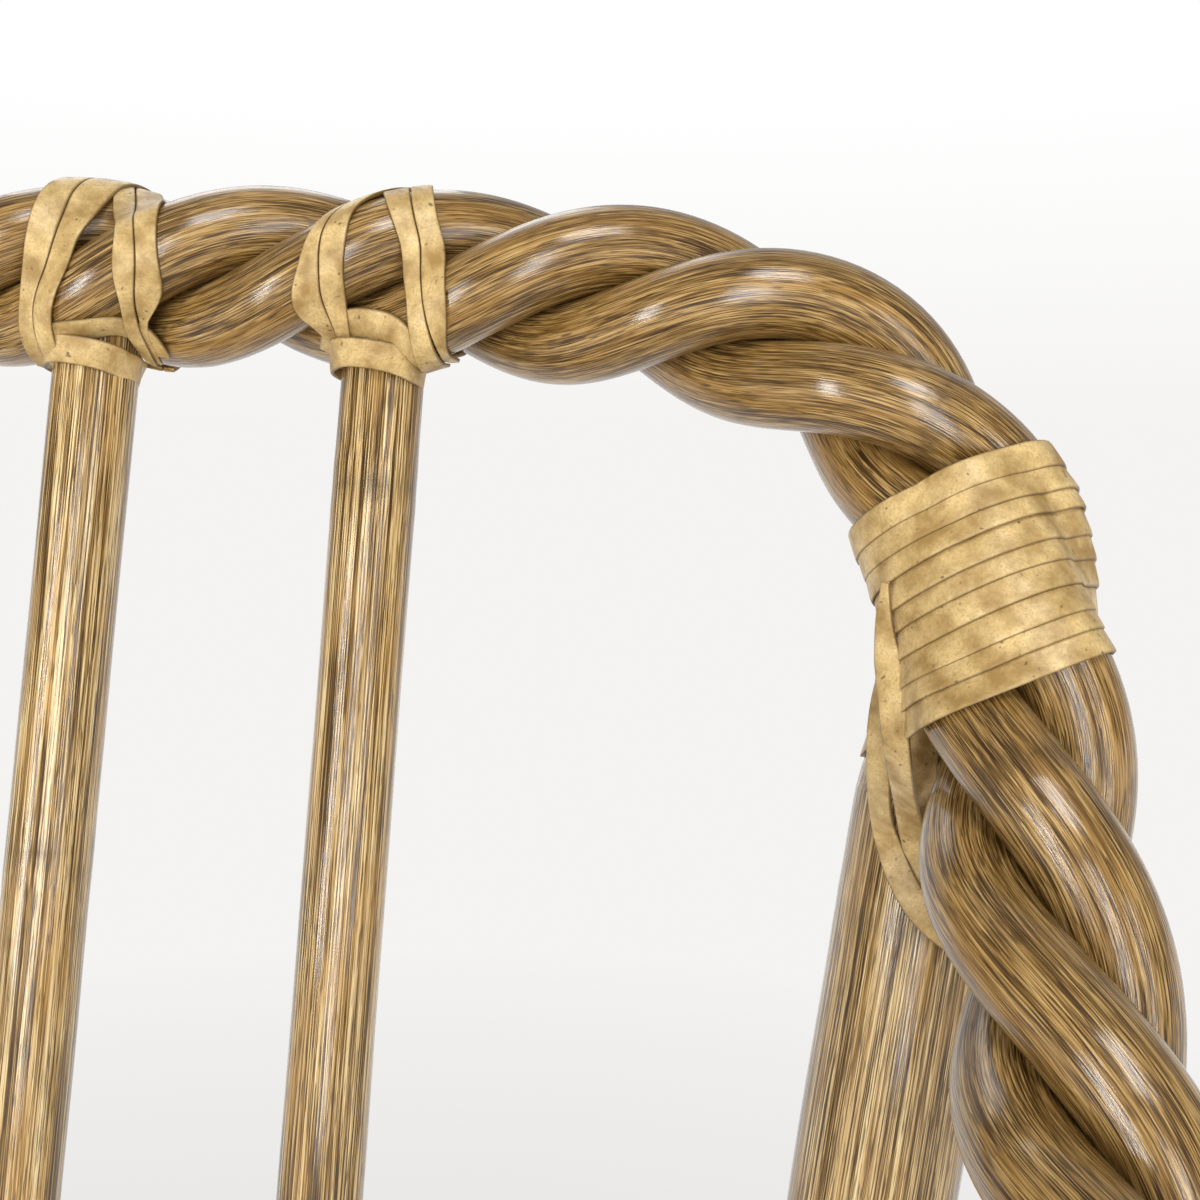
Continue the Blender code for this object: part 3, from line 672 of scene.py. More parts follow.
def paint_rattan(tree, shader, tones, line_mm, pore_mm, gloss):
    """Peeled rattan, rubbed with stain and lacquered.

    Fine lines run along the pole, from stained brown to pale gold, and group into bands. Amber patches lie
    over them, and short dark dashes are open pores that kept the stain. The lacquer is clear and glossy over
    the ridges of the lines, so its highlights break up along the grain. Wood bends light about as much as
    lacquer, so nearly all the gloss is the lacquer's. The pattern follows the straightened pole, in metres.
    """
    streak, deep, pale, bright, amber = tones
    pole = add_node(tree, "Attribute", out="Vector", attribute_name="unbent")
    joint = add_node(tree, "Attribute", out="Fac", attribute_name="joint")
    lines, bands, pores, patches = patterns(
        tree, pole, (*line_mm, 2.0, 0.6, 0.0), (4.0 * line_mm[0], 2.5 * line_mm[1], 2.0, 0.5, 0.0),
        (*pore_mm, 1.0, 0.5, 0.0), (8.0, 45.0, 2.0, 0.5, 0.6))
    grouped = add_node(tree, "Math", {0: bands, 1: 0.32}, operation="MULTIPLY")
    tone = add_node(tree, "Math", {0: lines, 1: 0.68, 2: grouped}, operation="MULTIPLY_ADD")
    worn, stained = (add_node(tree, "MapRange", {
        "Value": pores, "From Min": bare, "From Max": full, "To Min": least, "To Max": 0.75})
        for bare, full, least in ((0.56, 0.66, 0.0), (0.35, 0.60, 0.15)))
    ring = add_node(tree, "Math", {0: joint, 1: stained}, operation="MULTIPLY")
    dark = add_node(tree, "Math", {0: worn, 1: ring}, operation="MAXIMUM")
    colour = coated(tree, streak, (tone, 0.42, 0.48, 1.0, deep), (tone, 0.48, 0.54, 1.0, pale),
                    (tone, 0.55, 0.61, 1.0, bright), (patches, 0.48, 0.68, 0.50, amber),
                    (patches, 0.46, 0.30, 0.45, deep), (dark, 0.0, 1.0, 1.0, streak))
    ridges = add_node(tree, "Math", {0: pores, 1: -0.6, 2: lines}, operation="MULTIPLY_ADD")
    wood, lacquer = (add_node(tree, "Bump", {
        "Strength": strength, "Distance": 0.00026, "Height": ridges}) for strength in (0.6, 0.2))
    rough = add_node(tree, "MapRange", {
        "Value": lines, "From Min": 0.35, "From Max": 0.65, "To Min": gloss + 0.12, "To Max": gloss})
    fill(shader, {"Base Color": colour, "Roughness": rough, "Normal": wood, "IOR": 1.5,
                  "Specular IOR Level": 0.12, "Coat Weight": 1.0, "Coat Roughness": 0.12, "Coat IOR": 1.5,
                  "Coat Normal": lacquer})


def strand_look():
    """The twisted poles: darker stain, with short dashes."""
    c = colours()
    tones = (c.strand_streak, c.strand_deep, c.strand_pale, c.strand_bright, c.strand_amber)
    return kept_look("lacquered_rattan_stained", paint_rattan, tones, (0.28, 11.0), (0.34, 6.0), 0.30)


def pole_look():
    """The straight poles: paler, with long lines."""
    c = colours()
    tones = (c.pole_streak, c.pole_deep, c.pole_pale, c.pole_bright, c.pole_amber)
    return kept_look("lacquered_rattan_golden", paint_rattan, tones, (0.38, 55.0), (0.34, 9.0), 0.27)


def paint_end_grain(tree, shader):
    """Sawn rattan end: pale pith full of round vessels about 0.4 mm wide, drawn at 0.8 mm to show."""
    c = colours()
    place = add_node(tree, "TexCoord", out="Object")
    vessels = add_node(tree, "TexVoronoi", {"Vector": place, "Scale": 1 / (0.8 * MM)}, "Distance")
    pith = add_node(tree, "MapRange", {"Value": vessels, "From Min": 0.18, "From Max": 0.42})
    bump = add_node(tree, "Bump", {"Strength": 0.4, "Distance": 0.0002, "Height": pith})
    colour = coated(tree, c.strand_streak, (vessels, 0.18, 0.42, 1.0, c.pole_deep))
    fill(shader, {"Base Color": colour, "Roughness": 0.6, "Normal": bump})


def end_grain_look():
    """The poles' sawn ends."""
    return kept_look("sawn_rattan_end", paint_end_grain)


def paint_leather(tree, shader):
    """Tanned hide strip, rubbed with wax.

    It is mottled in clouds a few millimetres wide, with small dark specks where the grain is open, and the
    edges are
    darker: partly the stain of the cut, partly painted shade where one turn meets or lies on the next. The
    wax gives a satin sheen that changes with the mottling.
    """
    c = colours()
    place = add_node(tree, "TexCoord", out="Object")
    edge = add_node(tree, "Attribute", out="Fac", attribute_name="edge")
    mottle, grain, specks = patterns(tree, place, (7.0, 7.0, 4.0, 0.6, 0.0), (0.55, 0.55, 3.0, 0.6, 0.0),
                                     (1.6, 1.6, 1.0, 0.55, 0.0))
    # The last coat darkens the strips' edges: stain of the cut edge, and painted shade for the dark lines
    # where turns meet
    colour = coated(tree, c.leather_deep, (mottle, 0.34, 0.64, 1.0, c.leather_pale),
                    (grain, 0.46, 0.70, 0.55, c.leather_deep), (specks, 0.70, 0.78, 0.75, c.leather_speck_and_shade),
                    (edge, 0.86, 1.0, 0.82, c.leather_speck_and_shade))
    fine = add_node(tree, "Bump", {"Strength": 0.45, "Distance": 0.00025, "Height": grain})
    bump = add_node(tree, "Bump", {
        "Strength": 0.30, "Distance": 0.0009, "Height": mottle, "Normal": fine})
    rough = add_node(tree, "MapRange", {
        "Value": mottle, "From Min": 0.3, "From Max": 0.7, "To Min": 0.48, "To Max": 0.26})
    fill(shader, {"Base Color": colour, "Roughness": rough, "Normal": bump, "IOR": 1.5})


def leather_look():
    """The strip of all the lashings."""
    return kept_look("waxed_hide_strip", paint_leather)


def paint_nylon(tree, shader):
    """Moulded nylon, dark brown, faintly grained and scuffed by floors."""
    tone = colours().glide
    place = add_node(tree, "TexCoord", out="Object")
    scuff, grain = patterns(tree, place, (6.0, 6.0, 4.0, 0.5, 0.0), (0.7, 0.7, 2.0, 0.5, 0.0))
    bump = add_node(tree, "Bump", {"Strength": 0.2, "Distance": 0.0001, "Height": grain})
    colour = coated(tree, [0.7 * t for t in tone], (scuff, 0.0, 1.0, 1.0, [1.5 * t for t in tone]))
    rough = add_node(tree, "MapRange", {"Value": scuff, "To Min": 0.42, "To Max": 0.68})
    fill(shader, {"Base Color": colour, "Roughness": rough, "Normal": bump})


def glide_look():
    """The foot glides."""
    return kept_look("moulded_nylon", paint_nylon)


def paint_paper(tree, shader):
    """Matt backdrop paper that takes the chair's shadow near it and glows evenly farther off."""
    tone = (*colours().backdrop, 1.0)
    fill(shader, {"Base Color": tone, "Roughness": 0.9})
    glow = add_node(tree, "Emission", {"Color": tone})
    place = add_node(tree, "TexCoord", out="Object")
    away = add_node(tree, "VectorMath", {0: place}, "Value", operation="LENGTH")
    share = add_node(tree, "MapRange", {
        "Value": away, "From Min": 0.2, "From Max": 1.8, "To Min": 0.55, "To Max": 1.0})
    both = add_node(tree, "MixShader", {0: share, 1: shader.outputs[0], 2: glow})
    fill(tree.nodes["Material Output"], {"Surface": both})


# Lashings over the spindles. Each has two pairs of strips side by side, so six edges: three of the pair on
# the left and three of the pair on the right. At the angles round the rail that come first, an edge's
# numbers are millimetres along the rail from the spindle's middle. Lifts are in strip thicknesses.
LASH_ANGLES = (82.0, 45.0, 20.0, 0.0, -22.0, -46.0, -80.0, -140.0, -200.0, -252.0)
LASH_LIFTS = (
    (0.8, 0.8, 0.1, 0.1, 0.1, 0.2, 0.9, 1.0, 1.0, 1.0), (1.5, 1.5, 0.3, 0.1, 0.1, 0.2, 0.9, 1.0, 1.0, 1.0),
    (1.5, 1.3, 0.1, 0.1, 0.1, 0.1, 0.1, 0.1, 0.1, 0.1), (0.6, 0.5, 0.1, 0.1, 0.1, 0.1, 0.1, 0.1, 0.1, 0.1),
)
LASH_LEANING = (
    (-12.2, -13.6, -12.6, -11.5, -10.6, -9.0, -6.3, 2.1, 7.1, 7.1),
    (-9.7, -9.0, -8.2, -5.7, -4.1, -2.6, 0.1, 8.1, 12.6, 12.1),
    (-5.1, -4.4, -2.7, 0.7, 1.9, 4.4, 7.5, 14.1, 18.1, 15.1),
    (11.5, 11.2, 12.5, 12.3, 12.2, 9.0, 5.6, -4.4, -12.9, -14.9),
    (14.6, 14.8, 15.9, 17.7, 17.3, 14.5, 11.0, 1.1, -7.4, -9.9),
    (15.0, 16.1, 21.9, 23.0, 22.8, 21.9, 18.6, 7.1, -1.9, -5.9),
)
LASH_UPRIGHT = (
    (-10.3, -12.9, -16.6, -14.8, -12.6, -8.8, -2.3, 2.2, 6.2, 6.7),
    (-8.3, -8.2, -9.5, -9.4, -9.1, -6.1, 2.2, 8.2, 12.2, 11.7),
    (-4.7, -4.2, -4.1, -3.7, -3.0, -1.5, 7.2, 14.2, 18.2, 15.7),
    (12.8, 12.6, 11.3, 10.0, 8.8, 4.5, -0.1, -7.8, -13.8, -14.8),
    (18.6, 18.7, 16.3, 14.6, 13.7, 10.8, 6.7, -2.3, -8.3, -9.8),
    (20.9, 21.5, 22.6, 21.4, 19.8, 16.6, 12.3, 3.7, -2.8, -5.8),
)
# Even and odd spindles: a lashing's edges, and its arch's middle in millimetres and angle in degrees
LASHINGS = ((LASH_UPRIGHT, 2.5, 37.0), (LASH_LEANING, 2.7, 40.0))
LASH_REACH = 0.036
LASH_PAIRS = ((0, 1), (1, 2), (3, 4), (4, 5))
# Between two strips' edges, and the least width of a strip, in millimetres
EDGE_GAP = 0.15
LEAST_WIDTH = 2.2
# An arch's half span in millimetres, and the degrees by which its ends turn under
ARCH_HALF = 13.5
ARCH_TURN = 34.0
# The band round a spindle's head: below the rail's axis, from the spindle's axis, and farther out in front
BAND_DROP = 0.0206
BAND_REACH = 0.0106
BAND_BULGE = 0.0018

# Corner bindings: from the corner along the rail to the middle, the step of a turn, from the rail's axis
# towards the post to where the planes stand, and past the turns. A winding begins and stops behind.
CORNER_SLIDE = 0.0158
CORNER_PITCH = 0.00507
CORNER_OUT = 0.018
CORNER_PAST = 0.010
CORNER_BEGIN = math.radians(-30.0)
CORNER_SHORT = 0.26
# Ties at the corners: points over the binding, points on the post, and the tie's width at both ends. Over
# the binding, a point is millimetres along the rail from the corner, degrees from the back through the
# outer side and a lift in millimetres. On the post, it is millimetres below the rail's middle, degrees from
# the front towards the outer side and a lift.
TIES = (
    (((9.5, 222, 3.3), (16, 230, 3.3), (22, 236, 3.3), (30, 237, 3.3), (36.7, 240, 3.3)),
     ((139, -20, 1.0), (147, -13, 0.8)), (0.25, 0.8)),
    (((25, 243, 2.5), (31.5, 262, 2.5), (37.3, 266, 2.5)),
     ((137.6, -37, 2.2), (149.6, -14, 2.2), (153, -2, 1.6), (157, 25, 0.4), (157, 60, 0.2),
      (150, 100, 0.2), (138, 135, 0.2), (122, 160, 0.2), (100, 172, 0.2)), (0.6, 1.0)),
    ((), ((95, -37, 0.3), (111, -31, 0.3), (125.5, -23, 0.3), (138, -18, 0.3)), (1.0, 0.15)),
)
TIE_BELOW = (0.060, 0.190)
TIE_TAPER = 0.018

# Arm lashings: reach along the arm, and the spread of the crossing strips and their step in millimetres
ARM_LASH_REACH = 0.044
ARM_LASH_SPREAD = 26.6
ARM_LASH_STEP = 5.9
# Windings: where the first turn lies, the step of a turn and the number of turns
NECK_WINDING = (-0.022, 0.0056, 3)
SEAT_WINDING = (-0.0115, 0.0058, 4)
ARM_END_WINDING = (0.0365, 0.0057, 5)
NECK_REACH = 0.045
SEAT_REACH = 0.030
ARM_END_REACH = 0.055
# How high the two crossing windings at a seat rail lie
SEAT_LIFTS = (0.0003, 0.0013)


def between_edges(wrap, at, left, right, lifts, sizes):
    """Rings of a strip over the rail that fills the room between two edges.

    Both edges are smooth curves through their numbers at the lashing's angles. A point of the strip's cut
    face lies between them by its share across, and is lifted by the lift and its height in the strip.
    """
    angles = -np.radians(LASH_ANGLES)
    turn = np.linspace(angles[0], angles[-1], 150)
    across, up = strip_section()
    start = spline_at(angles, left, turn)[:, None]
    end = spline_at(angles, right, turn)[:, None]
    width = np.maximum(np.abs(end - start) - EDGE_GAP, LEAST_WIDTH)
    place = at + MM * ((start + end) / 2 + width * across[None, :])
    lift = sizes.leather * (np.interp(turn, angles, lifts)[:, None] + up[None, :])
    return wrap.point(place, np.broadcast_to(-turn[:, None], place.shape), lift)[0]


def lashing_strips(wrap, at, edges, sizes, mirror=1.0):
    """The four strips of a lashing over the rail, from its six edges."""
    edges = mirror * np.array(edges)
    return [between_edges(wrap, at, edges[i], edges[j], lifts, sizes)
            for (i, j), lifts in zip(LASH_PAIRS, LASH_LIFTS)]


class ChairOperator:
    """What the operators share: they change the scene and can be undone."""

    bl_options = {"REGISTER", "UNDO"}


class CHAIR_OT_twisted_rail(ChairOperator, bpy.types.Operator):
    """Three lacquered poles twisted left-handed into the top rail and the arms"""

    bl_idname = "rattan_chair.twisted_rail"
    bl_label = "Twisted rail"

    def execute(self, context):
        sizes, rail = chair()
        looks = [strand_look(), end_grain_look()]
        lengths = stations(2 * rail.end, STRAND_STEP) - rail.end
        for k in range(STRAND_COUNT):
            centres, outward = strand_line(rail, k, lengths, sizes)
            along = path_lengths(centres)
            firsts = carried(outward[0], unit(np.gradient(centres, along, axis=0)))
            skin = pole_skin(centres, firsts, along, sizes.strand / 2, joints_along(3 * k + 1.0), 4.0 * k)
            add_rattan(f"rattan_strand_{k + 1}", f"twist_strand_{k + 1}", looks, skin)
        return {"FINISHED"}


class CHAIR_OT_posts(ChairOperator, bpy.types.Operator):
    """Two curved rear posts and two front posts of thick rattan"""

    bl_idname = "rattan_chair.posts"
    bl_label = "Posts"

    def execute(self, context):
        _, rail = chair()
        looks = [pole_look(), end_grain_look()]
        for number, ((place, side), (line, radius)) in enumerate(post_lines(rail).items()):
            add_pole(f"{place}_post_{side}", line, radius, looks, 20.0 + number)
        return {"FINISHED"}


class CHAIR_OT_poles(ChairOperator, bpy.types.Operator):
    """Back spindles, seat rails, seat poles and stretchers of straight rattan"""

    bl_idname = "rattan_chair.poles"
    bl_label = "Straight poles"

    def execute(self, context):
        looks = [pole_look(), end_grain_look()]
        starts = ("back_spindle", "seat_rail", "seat_pole", "stretcher")
        names = sorted(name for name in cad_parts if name.startswith(starts))
        for number, name in enumerate(names):
            if name.startswith("back_spindle"):
                line, radius = spindle_line(int(name[-1]))
                line[-1] += SPINDLE_TENON * unit(line[-1] - line[0])
            else:
                line, radius = straight_line(name)
            add_pole(name, line, radius, looks, 1.0 + number, SEEN_JOINTS.get(name))
        return {"FINISHED"}


class CHAIR_OT_spindle_lashings(ChairOperator, bpy.types.Operator):
    """Leather over the rail and round the head of each back spindle"""

    bl_idname = "rattan_chair.spindle_lashings"
    bl_label = "Spindle lashings"

    def execute(self, context):
        sizes, rail = chair()
        tubes = strand_tubes(rail, sizes)
        for number in range(1, 2 * len(SPINDLES) + 1):
            line, _ = spindle_line(number)
            foot, head = line[0], line[-1]
            at = np.interp(head[0], rail.points[:, 0], rail.lengths)
            mirror = math.copysign(1.0, head[0])
            edges, middle, degrees = LASHINGS[number % 2]
            wrap = rail_wrap(rail, tubes, at - LASH_REACH, at + LASH_REACH, FRONT)
            add_leather(f"leather_saddle_{number}", lashing_strips(wrap, at, edges, sizes, mirror),
                        [f"spindle_saddle_{number}"])

            # The arch turns under the rail with the fourth power of the way from its middle
            swing = np.linspace(-1.0, 1.0, 60)
            place = at + mirror * MM * (middle + ARCH_HALF * swing)
            arch = wrap.strip(place, np.radians(degrees + ARCH_TURN * swing ** 4), sizes, 0.0004, wide=1.2)
            upward = unit(head - foot)
            loop = self.band(rail.at(at, rail.points) - BAND_DROP * upward / upward[2], upward, mirror, sizes)
            add_leather(f"leather_band_{number}", [arch, loop], [f"spindle_band_{number}"])
        return {"FINISHED"}

    def band(self, centre, upward, mirror, sizes):
        """A strip round a spindle's head: a circle that bulges and rises in front, and leans sideways."""
        front = square_to(FRONT, upward)
        turn = np.linspace(0, 2 * np.pi, 121)[:, None] + np.pi
        outward = np.cos(turn) * front + np.sin(turn) * np.cross(upward, front)
        ahead = ease(np.abs(np.cos(turn)), 0.35, 1.0)
        lower = 0.0006 * (1 - ahead) + 0.0010 * mirror * np.sin(turn)
        points = centre + (BAND_REACH + BAND_BULGE * ahead) * outward - lower * upward
        return ribbon(points, unit(outward - (0.10 + 0.42 * ahead) * upward), sizes, 1.25)


class CHAIR_OT_corner_bindings(ChairOperator, bpy.types.Operator):
    """Leather wound round the rail and the rear post at each corner, with ties on the post"""

    bl_idname = "rattan_chair.corner_bindings"
    bl_label = "Corner bindings"

    def execute(self, context):
        sizes, rail = chair()
        strands = strand_tubes(rail, sizes)
        posts = post_lines(rail)
        half = sizes.corner_turns * CORNER_PITCH / 2
        for side, sign in SIDES:
            line, radius = posts["rear", side]
            axis = unit(sign * rail.at(sign * CORNER_AT, rail.tangents))
            middle = rail.at(sign * CORNER_AT, rail.points) + unit(CORNER_LEAN) * (sign, 1, 1) * CORNER_OUT
            bound = line[:-POST_END_SAMPLES]
            hull = straight_wrap(CORNER_SLIDE - half - CORNER_PAST, CORNER_SLIDE + half + CORNER_PAST, 90,
                                 middle, axis, -FRONT, strands + [(bound, radius * necking(bound))])
            hull.reach = bridged(hull.reach, 20, 5)
            shell = winding(hull, CORNER_SLIDE - half, CORNER_PITCH, sizes.corner_turns - CORNER_SHORT, sizes,
                            lift=0.0003, tilt=0.0011, begin=sign * CORNER_BEGIN, wide=1.1, uneven=1.7)
            add_leather(f"leather_corner_{side}", [shell], [f"corner_binding_{side}"])

            below = np.linspace(*TIE_BELOW, 120)
            middles = read_along(RAIL_HEIGHT - below, line[:, 2], line)
            downward = unit(middles[-1] - middles[0])
            post = Wrap(below, middles, downward, FRONT, [(line, radius * necking(line))])
            shells = [self.tie(hull, post, sign, sizes, *tie) for tie in TIES]
            add_leather(f"leather_tie_{side}", shells, [f"corner_tie_{side}"])
        return {"FINISHED"}

    def tie(self, hull, post, sign, sizes, over, below, ends):
        """A strip over the binding and then on the post: a smooth curve through points on both outlines."""
        place, degrees, lift = np.array(below, float).T
        inner, outer = (post.point(MM * place, -sign * np.radians(degrees), height)[0]
                        for height in (np.full(len(lift), -MM), MM * lift))
        points = [outer]
        normals = [unit(outer - inner)]
        if over:
            place, degrees, lift = np.array(over, float).T
            points.insert(0, hull.point(MM * place, sign * np.radians(degrees), MM * lift)[0])
            normals.insert(0, np.broadcast_to(unit(FRONT - 0.8 * sign * RIGHT), points[0].shape))
        points = np.concatenate(points)
        along = path_lengths(points)
        fine = np.linspace(0, along[-1], 160)
        normals = spline_at(along, np.concatenate(normals), fine)
        wide = 1.15 * np.interp(fine, (0.0, TIE_TAPER, along[-1] - TIE_TAPER, along[-1]),
                                (ends[0], 1.0, 1.0, ends[1]))
        return ribbon(spline_at(along, points, fine), unit(normals), sizes, wide)


class CHAIR_OT_arm_bindings(ChairOperator, bpy.types.Operator):
    """Leather over the arms at the front posts and round the arms' ends"""

    bl_idname = "rattan_chair.arm_bindings"
    bl_label = "Arm bindings"

    def execute(self, context):
        sizes, rail = chair()
        strands = strand_tubes(rail, sizes)
        posts = post_lines(rail)
        # Edges swing from one end of the lashing to the other as a cosine of the way round the arm
        share = np.cos(np.pi * np.linspace(0, 1, len(LASH_ANGLES)))
        edges = [way * ARM_LASH_SPREAD * share + step * ARM_LASH_STEP
                 for way in (-1, 1) for step in (-1, 0, 1)]
        for side, sign in SIDES:
            at = sign * (rail.end - ARM_OVERHANG)
            inward = -sign * RIGHT
            wrap = rail_wrap(rail, strands, at - ARM_LASH_REACH, at + ARM_LASH_REACH, inward)
            shells = lashing_strips(wrap, at, edges, sizes)
            line, radius = posts["front", side]
            upward = unit(line[-1] - line[0])
            neck = straight_wrap(-NECK_REACH, 0.0, 46, line[-1], upward, -FRONT, [(line, radius)])
            shells.append(winding(neck, *NECK_WINDING, sizes))
            add_leather(f"leather_arm_saddle_{side}", shells, [f"arm_saddle_{side}"])

            start, end = sorted((sign * (rail.end - ARM_END_REACH), sign * rail.end))
            wrap = rail_wrap(rail, strands, start, end, inward)
            from_end, pitch, turns = ARM_END_WINDING
            shell = winding(wrap, sign * (rail.end - from_end), sign * pitch, turns, sizes,
                            tilt=0.0003 * sign)
            add_leather(f"leather_arm_end_{side}", [shell], [f"arm_end_binding_{side}"])
        return {"FINISHED"}


class CHAIR_OT_seat_bindings(ChairOperator, bpy.types.Operator):
    """Leather crossed over the seat rails and the posts"""

    bl_idname = "rattan_chair.seat_bindings"
    bl_label = "Seat bindings"

    def execute(self, context):
        sizes, rail = chair()
        for (place, side), (line, radius) in post_lines(rail).items():
            sign = dict(SIDES)[side]
            bar, bar_radius = straight_line(f"seat_rail_{place}")
            nearest = np.argmin(np.abs(line[:, 2] - SEAT_RAIL_HEIGHT))
            upward = unit(line[nearest + 3] - line[nearest - 3])
            centre = (line[nearest] + np.array((line[nearest, 0], bar[0, 1], SEAT_RAIL_HEIGHT))) / 2
            shells = []
            # Two windings lean half upright to either side, and the second crosses over the first
            for lean, lift in zip((sign, -sign), SEAT_LIFTS):
                wrap = straight_wrap(-SEAT_REACH, SEAT_REACH, 61, centre, unit(upward + lean * RIGHT), FRONT,
                                     [(line, radius), (bar, bar_radius)])
                shells.append(winding(wrap, *SEAT_WINDING, sizes, lift))
            add_leather(f"leather_seat_{place}_{side}", shells, [f"seat_binding_{place}_{side}"])
        return {"FINISHED"}


GLIDE_EDGE = 0.0015
GLIDE_SIDES = 64


class CHAIR_OT_glides(ChairOperator, bpy.types.Operator):
    """A moulded glide under each post"""

    bl_idname = "rattan_chair.glides"
    bl_label = "Foot glides"

    def execute(self, context):
        # A disc whose lower and upper edges are quarter circles
        turn = np.linspace(0, np.pi / 2, 6)
        cosine, sine = (GLIDE_EDGE * (1 - wave) for wave in (np.cos(turn), np.sin(turn)))
        swing = 2 * np.pi * np.arange(GLIDE_SIDES) / GLIDE_SIDES
        for name in sorted(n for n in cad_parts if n.startswith("foot_glide")):
            low, high = (np.array(corner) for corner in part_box(name))
            middle = (low + high) / 2
            heights = np.concatenate((cosine, high[2] - sine))
            wide = (high[0] - low[0]) / 2 - np.concatenate((sine, cosine))
            rings = np.stack(np.broadcast_arrays(
                middle[0] + wide[:, None] * np.cos(swing), middle[1] + wide[:, None] * np.sin(swing),
                heights[:, None]), axis=-1)
            add_piece(f"nylon_{name}", [rings], [glide_look()], [name])
        return {"FINISHED"}


# The photo's camera, measured from the middle of the rail's axis
CAMERA_PLACE = (0.24827, -0.32577, -0.03378)
CAMERA_RIGHT = (0.99886, 0.04738, 0.00653)
CAMERA_DOWN = (0.01301, -0.13788, -0.99036)
CAMERA_LENS = 39.0
# Soft lights: place from the rail's middle, width and height, and watts. They face the target
LIGHTS = {
    "key": ((0.42, -1.00, 0.95), 0.45, 0.45, 8.0),
    "window": ((1.15, -1.25, 0.05), 0.25, 0.9, 4.0),
    "front": ((0.22, -1.14, -0.02), 0.24, 0.7, 4.6),
    "left": ((-0.70, -1.05, 0.02), 0.18, 0.55, 5.2),
    "back": ((-0.50, 1.60, 1.60), 1.2, 1.2, 9.0),
}
LIGHT_TARGET = (0.20, -0.05, -0.10)
FLOOR_REACH = 60.0


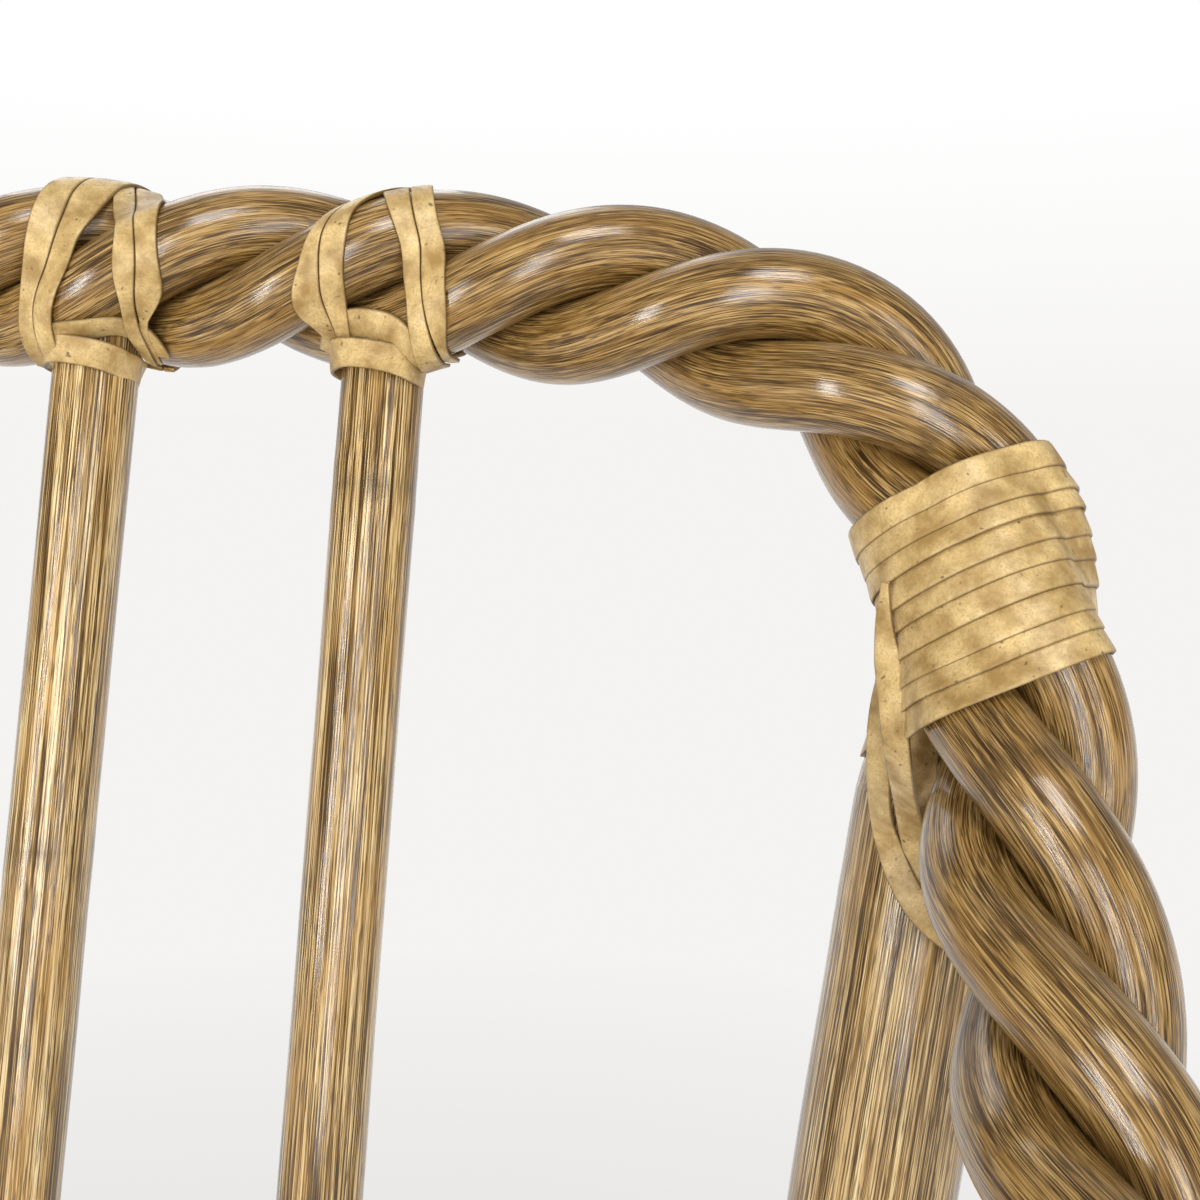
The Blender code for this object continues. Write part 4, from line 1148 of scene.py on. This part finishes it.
class CHAIR_OT_stage(ChairOperator, bpy.types.Operator):
    """White paper, soft lights and the photo's camera"""

    bl_idname = "rattan_chair.stage"
    bl_label = "Stage"

    def execute(self, context):
        scene = context.scene
        self.add_floor(scene)
        self.add_world(scene)
        for name, light in LIGHTS.items():
            self.add_light(scene, name, *light)
        data = bpy.data.cameras.new("photo_camera")
        data.lens = CAMERA_LENS
        data.sensor_width = 36.0
        data.clip_start = 0.01
        data.clip_end = 200.0
        right = unit(CAMERA_RIGHT)
        up = square_to(-np.array(CAMERA_DOWN), right)
        scene.camera = self.stand(scene, "photo_camera", data, right, up, CAMERA_PLACE)
        scene.view_settings.view_transform = "Standard"
        return {"FINISHED"}

    def add_floor(self, scene):
        """A wide square of paper under the chair."""
        mesh = bpy.data.meshes.new("paper_floor")
        corners = [(x * FLOOR_REACH, y * FLOOR_REACH, 0) for x, y in ((-1, -1), (1, -1), (1, 1), (-1, 1))]
        mesh.from_pydata(corners, [], [(0, 1, 2, 3)])
        mesh.materials.append(kept_look("studio_paper", paint_paper))
        floor = bpy.data.objects.new("paper_floor", mesh)
        scene.collection.objects.link(floor)

    def add_world(self, scene):
        """White to the camera, dimmer as light, and bright behind the chair in reflections."""
        world = bpy.data.worlds.new("white_studio")
        world.use_nodes = True
        tree = world.node_tree
        ray = add_node(tree, "TexCoord", out="Generated")
        back, up = (add_node(tree, "SeparateXYZ", {0: ray}, axis) for axis in "YZ")
        seen, mirrored = (add_node(tree, "LightPath", out=f"Is {kind} Ray")
                          for kind in ("Camera", "Glossy"))
        tone = coated(tree, colours().backdrop, (up, 0.0, 0.22, 1.0, (1.0, 1.0, 1.0)))
        white = add_node(tree, "Background", {"Color": tone, "Strength": 1.0})
        behind = add_node(tree, "MapRange", {"Value": back, "From Max": 0.8, "To Max": 0.35})
        strength = add_node(tree, "Math", {0: mirrored, 1: behind, 2: 0.22}, operation="MULTIPLY_ADD")
        light = tree.nodes["Background"]
        fill(light, {"Color": (1.0, 1.0, 1.0, 1.0), "Strength": strength})
        both = add_node(tree, "MixShader", {0: seen, 1: light.outputs[0], 2: white})
        fill(tree.nodes["World Output"], {"Surface": both})
        scene.world = world

    def add_light(self, scene, name, place, width, height, power):
        """A soft light that faces the target."""
        data = bpy.data.lights.new(f"{name}_light", "AREA")
        data.shape = "RECTANGLE"
        data.size = width
        data.size_y = height
        data.energy = power
        back = unit(np.subtract(place, LIGHT_TARGET))
        right = unit(np.cross(UP, back))
        self.stand(scene, f"{name}_light", data, right, np.cross(back, right), place)

    def stand(self, scene, name, data, right, up, place):
        """A camera or light at a place from the rail's middle, with its X and Y turned right and up."""
        item = bpy.data.objects.new(name, data)
        turn = np.eye(4)
        turn[:3] = np.stack((right, up, np.cross(right, up), RAIL_MIDDLE + place), axis=1)
        item.matrix_world = Matrix(turn.tolist())
        scene.collection.objects.link(item)
        return item


OPERATORS = (
    CHAIR_OT_twisted_rail, CHAIR_OT_posts, CHAIR_OT_poles, CHAIR_OT_spindle_lashings,
    CHAIR_OT_corner_bindings, CHAIR_OT_arm_bindings, CHAIR_OT_seat_bindings, CHAIR_OT_glides, CHAIR_OT_stage,
)


class CHAIR_PT_sidebar(bpy.types.Panel):
    """Buttons for the chair's pieces, with its sizes and colours"""

    bl_label = "Rattan chair"
    bl_idname = "CHAIR_PT_sidebar"
    bl_space_type = "VIEW_3D"
    bl_region_type = "UI"
    bl_category = "Rattan chair"

    def draw(self, context):
        settings = context.scene.rattan_chair
        for group in (settings.sizes, settings.colours):
            column = self.layout.column(align=True)
            for key in group.__annotations__:
                column.prop(group, key)
        column = self.layout.column(align=True)
        for operator in OPERATORS:
            column.operator(operator.bl_idname)


CLASSES = (ChairSizes, ChairColours, ChairSettings, *OPERATORS, CHAIR_PT_sidebar)


def register():
    """Makes the classes and the chair's settings known to Blender."""
    for item in CLASSES:
        bpy.utils.register_class(item)
    bpy.types.Scene.rattan_chair = PointerProperty(type=ChairSettings)


def unregister():
    """Takes the settings and the classes away again."""
    del bpy.types.Scene.rattan_chair
    for item in reversed(CLASSES):
        bpy.utils.unregister_class(item)


def main():
    """Builds the whole chair on its stage."""
    register()
    for operator in OPERATORS:
        group, name = operator.bl_idname.split(".")
        getattr(getattr(bpy.ops, group), name)()


if __name__ == "__main__":
    main()
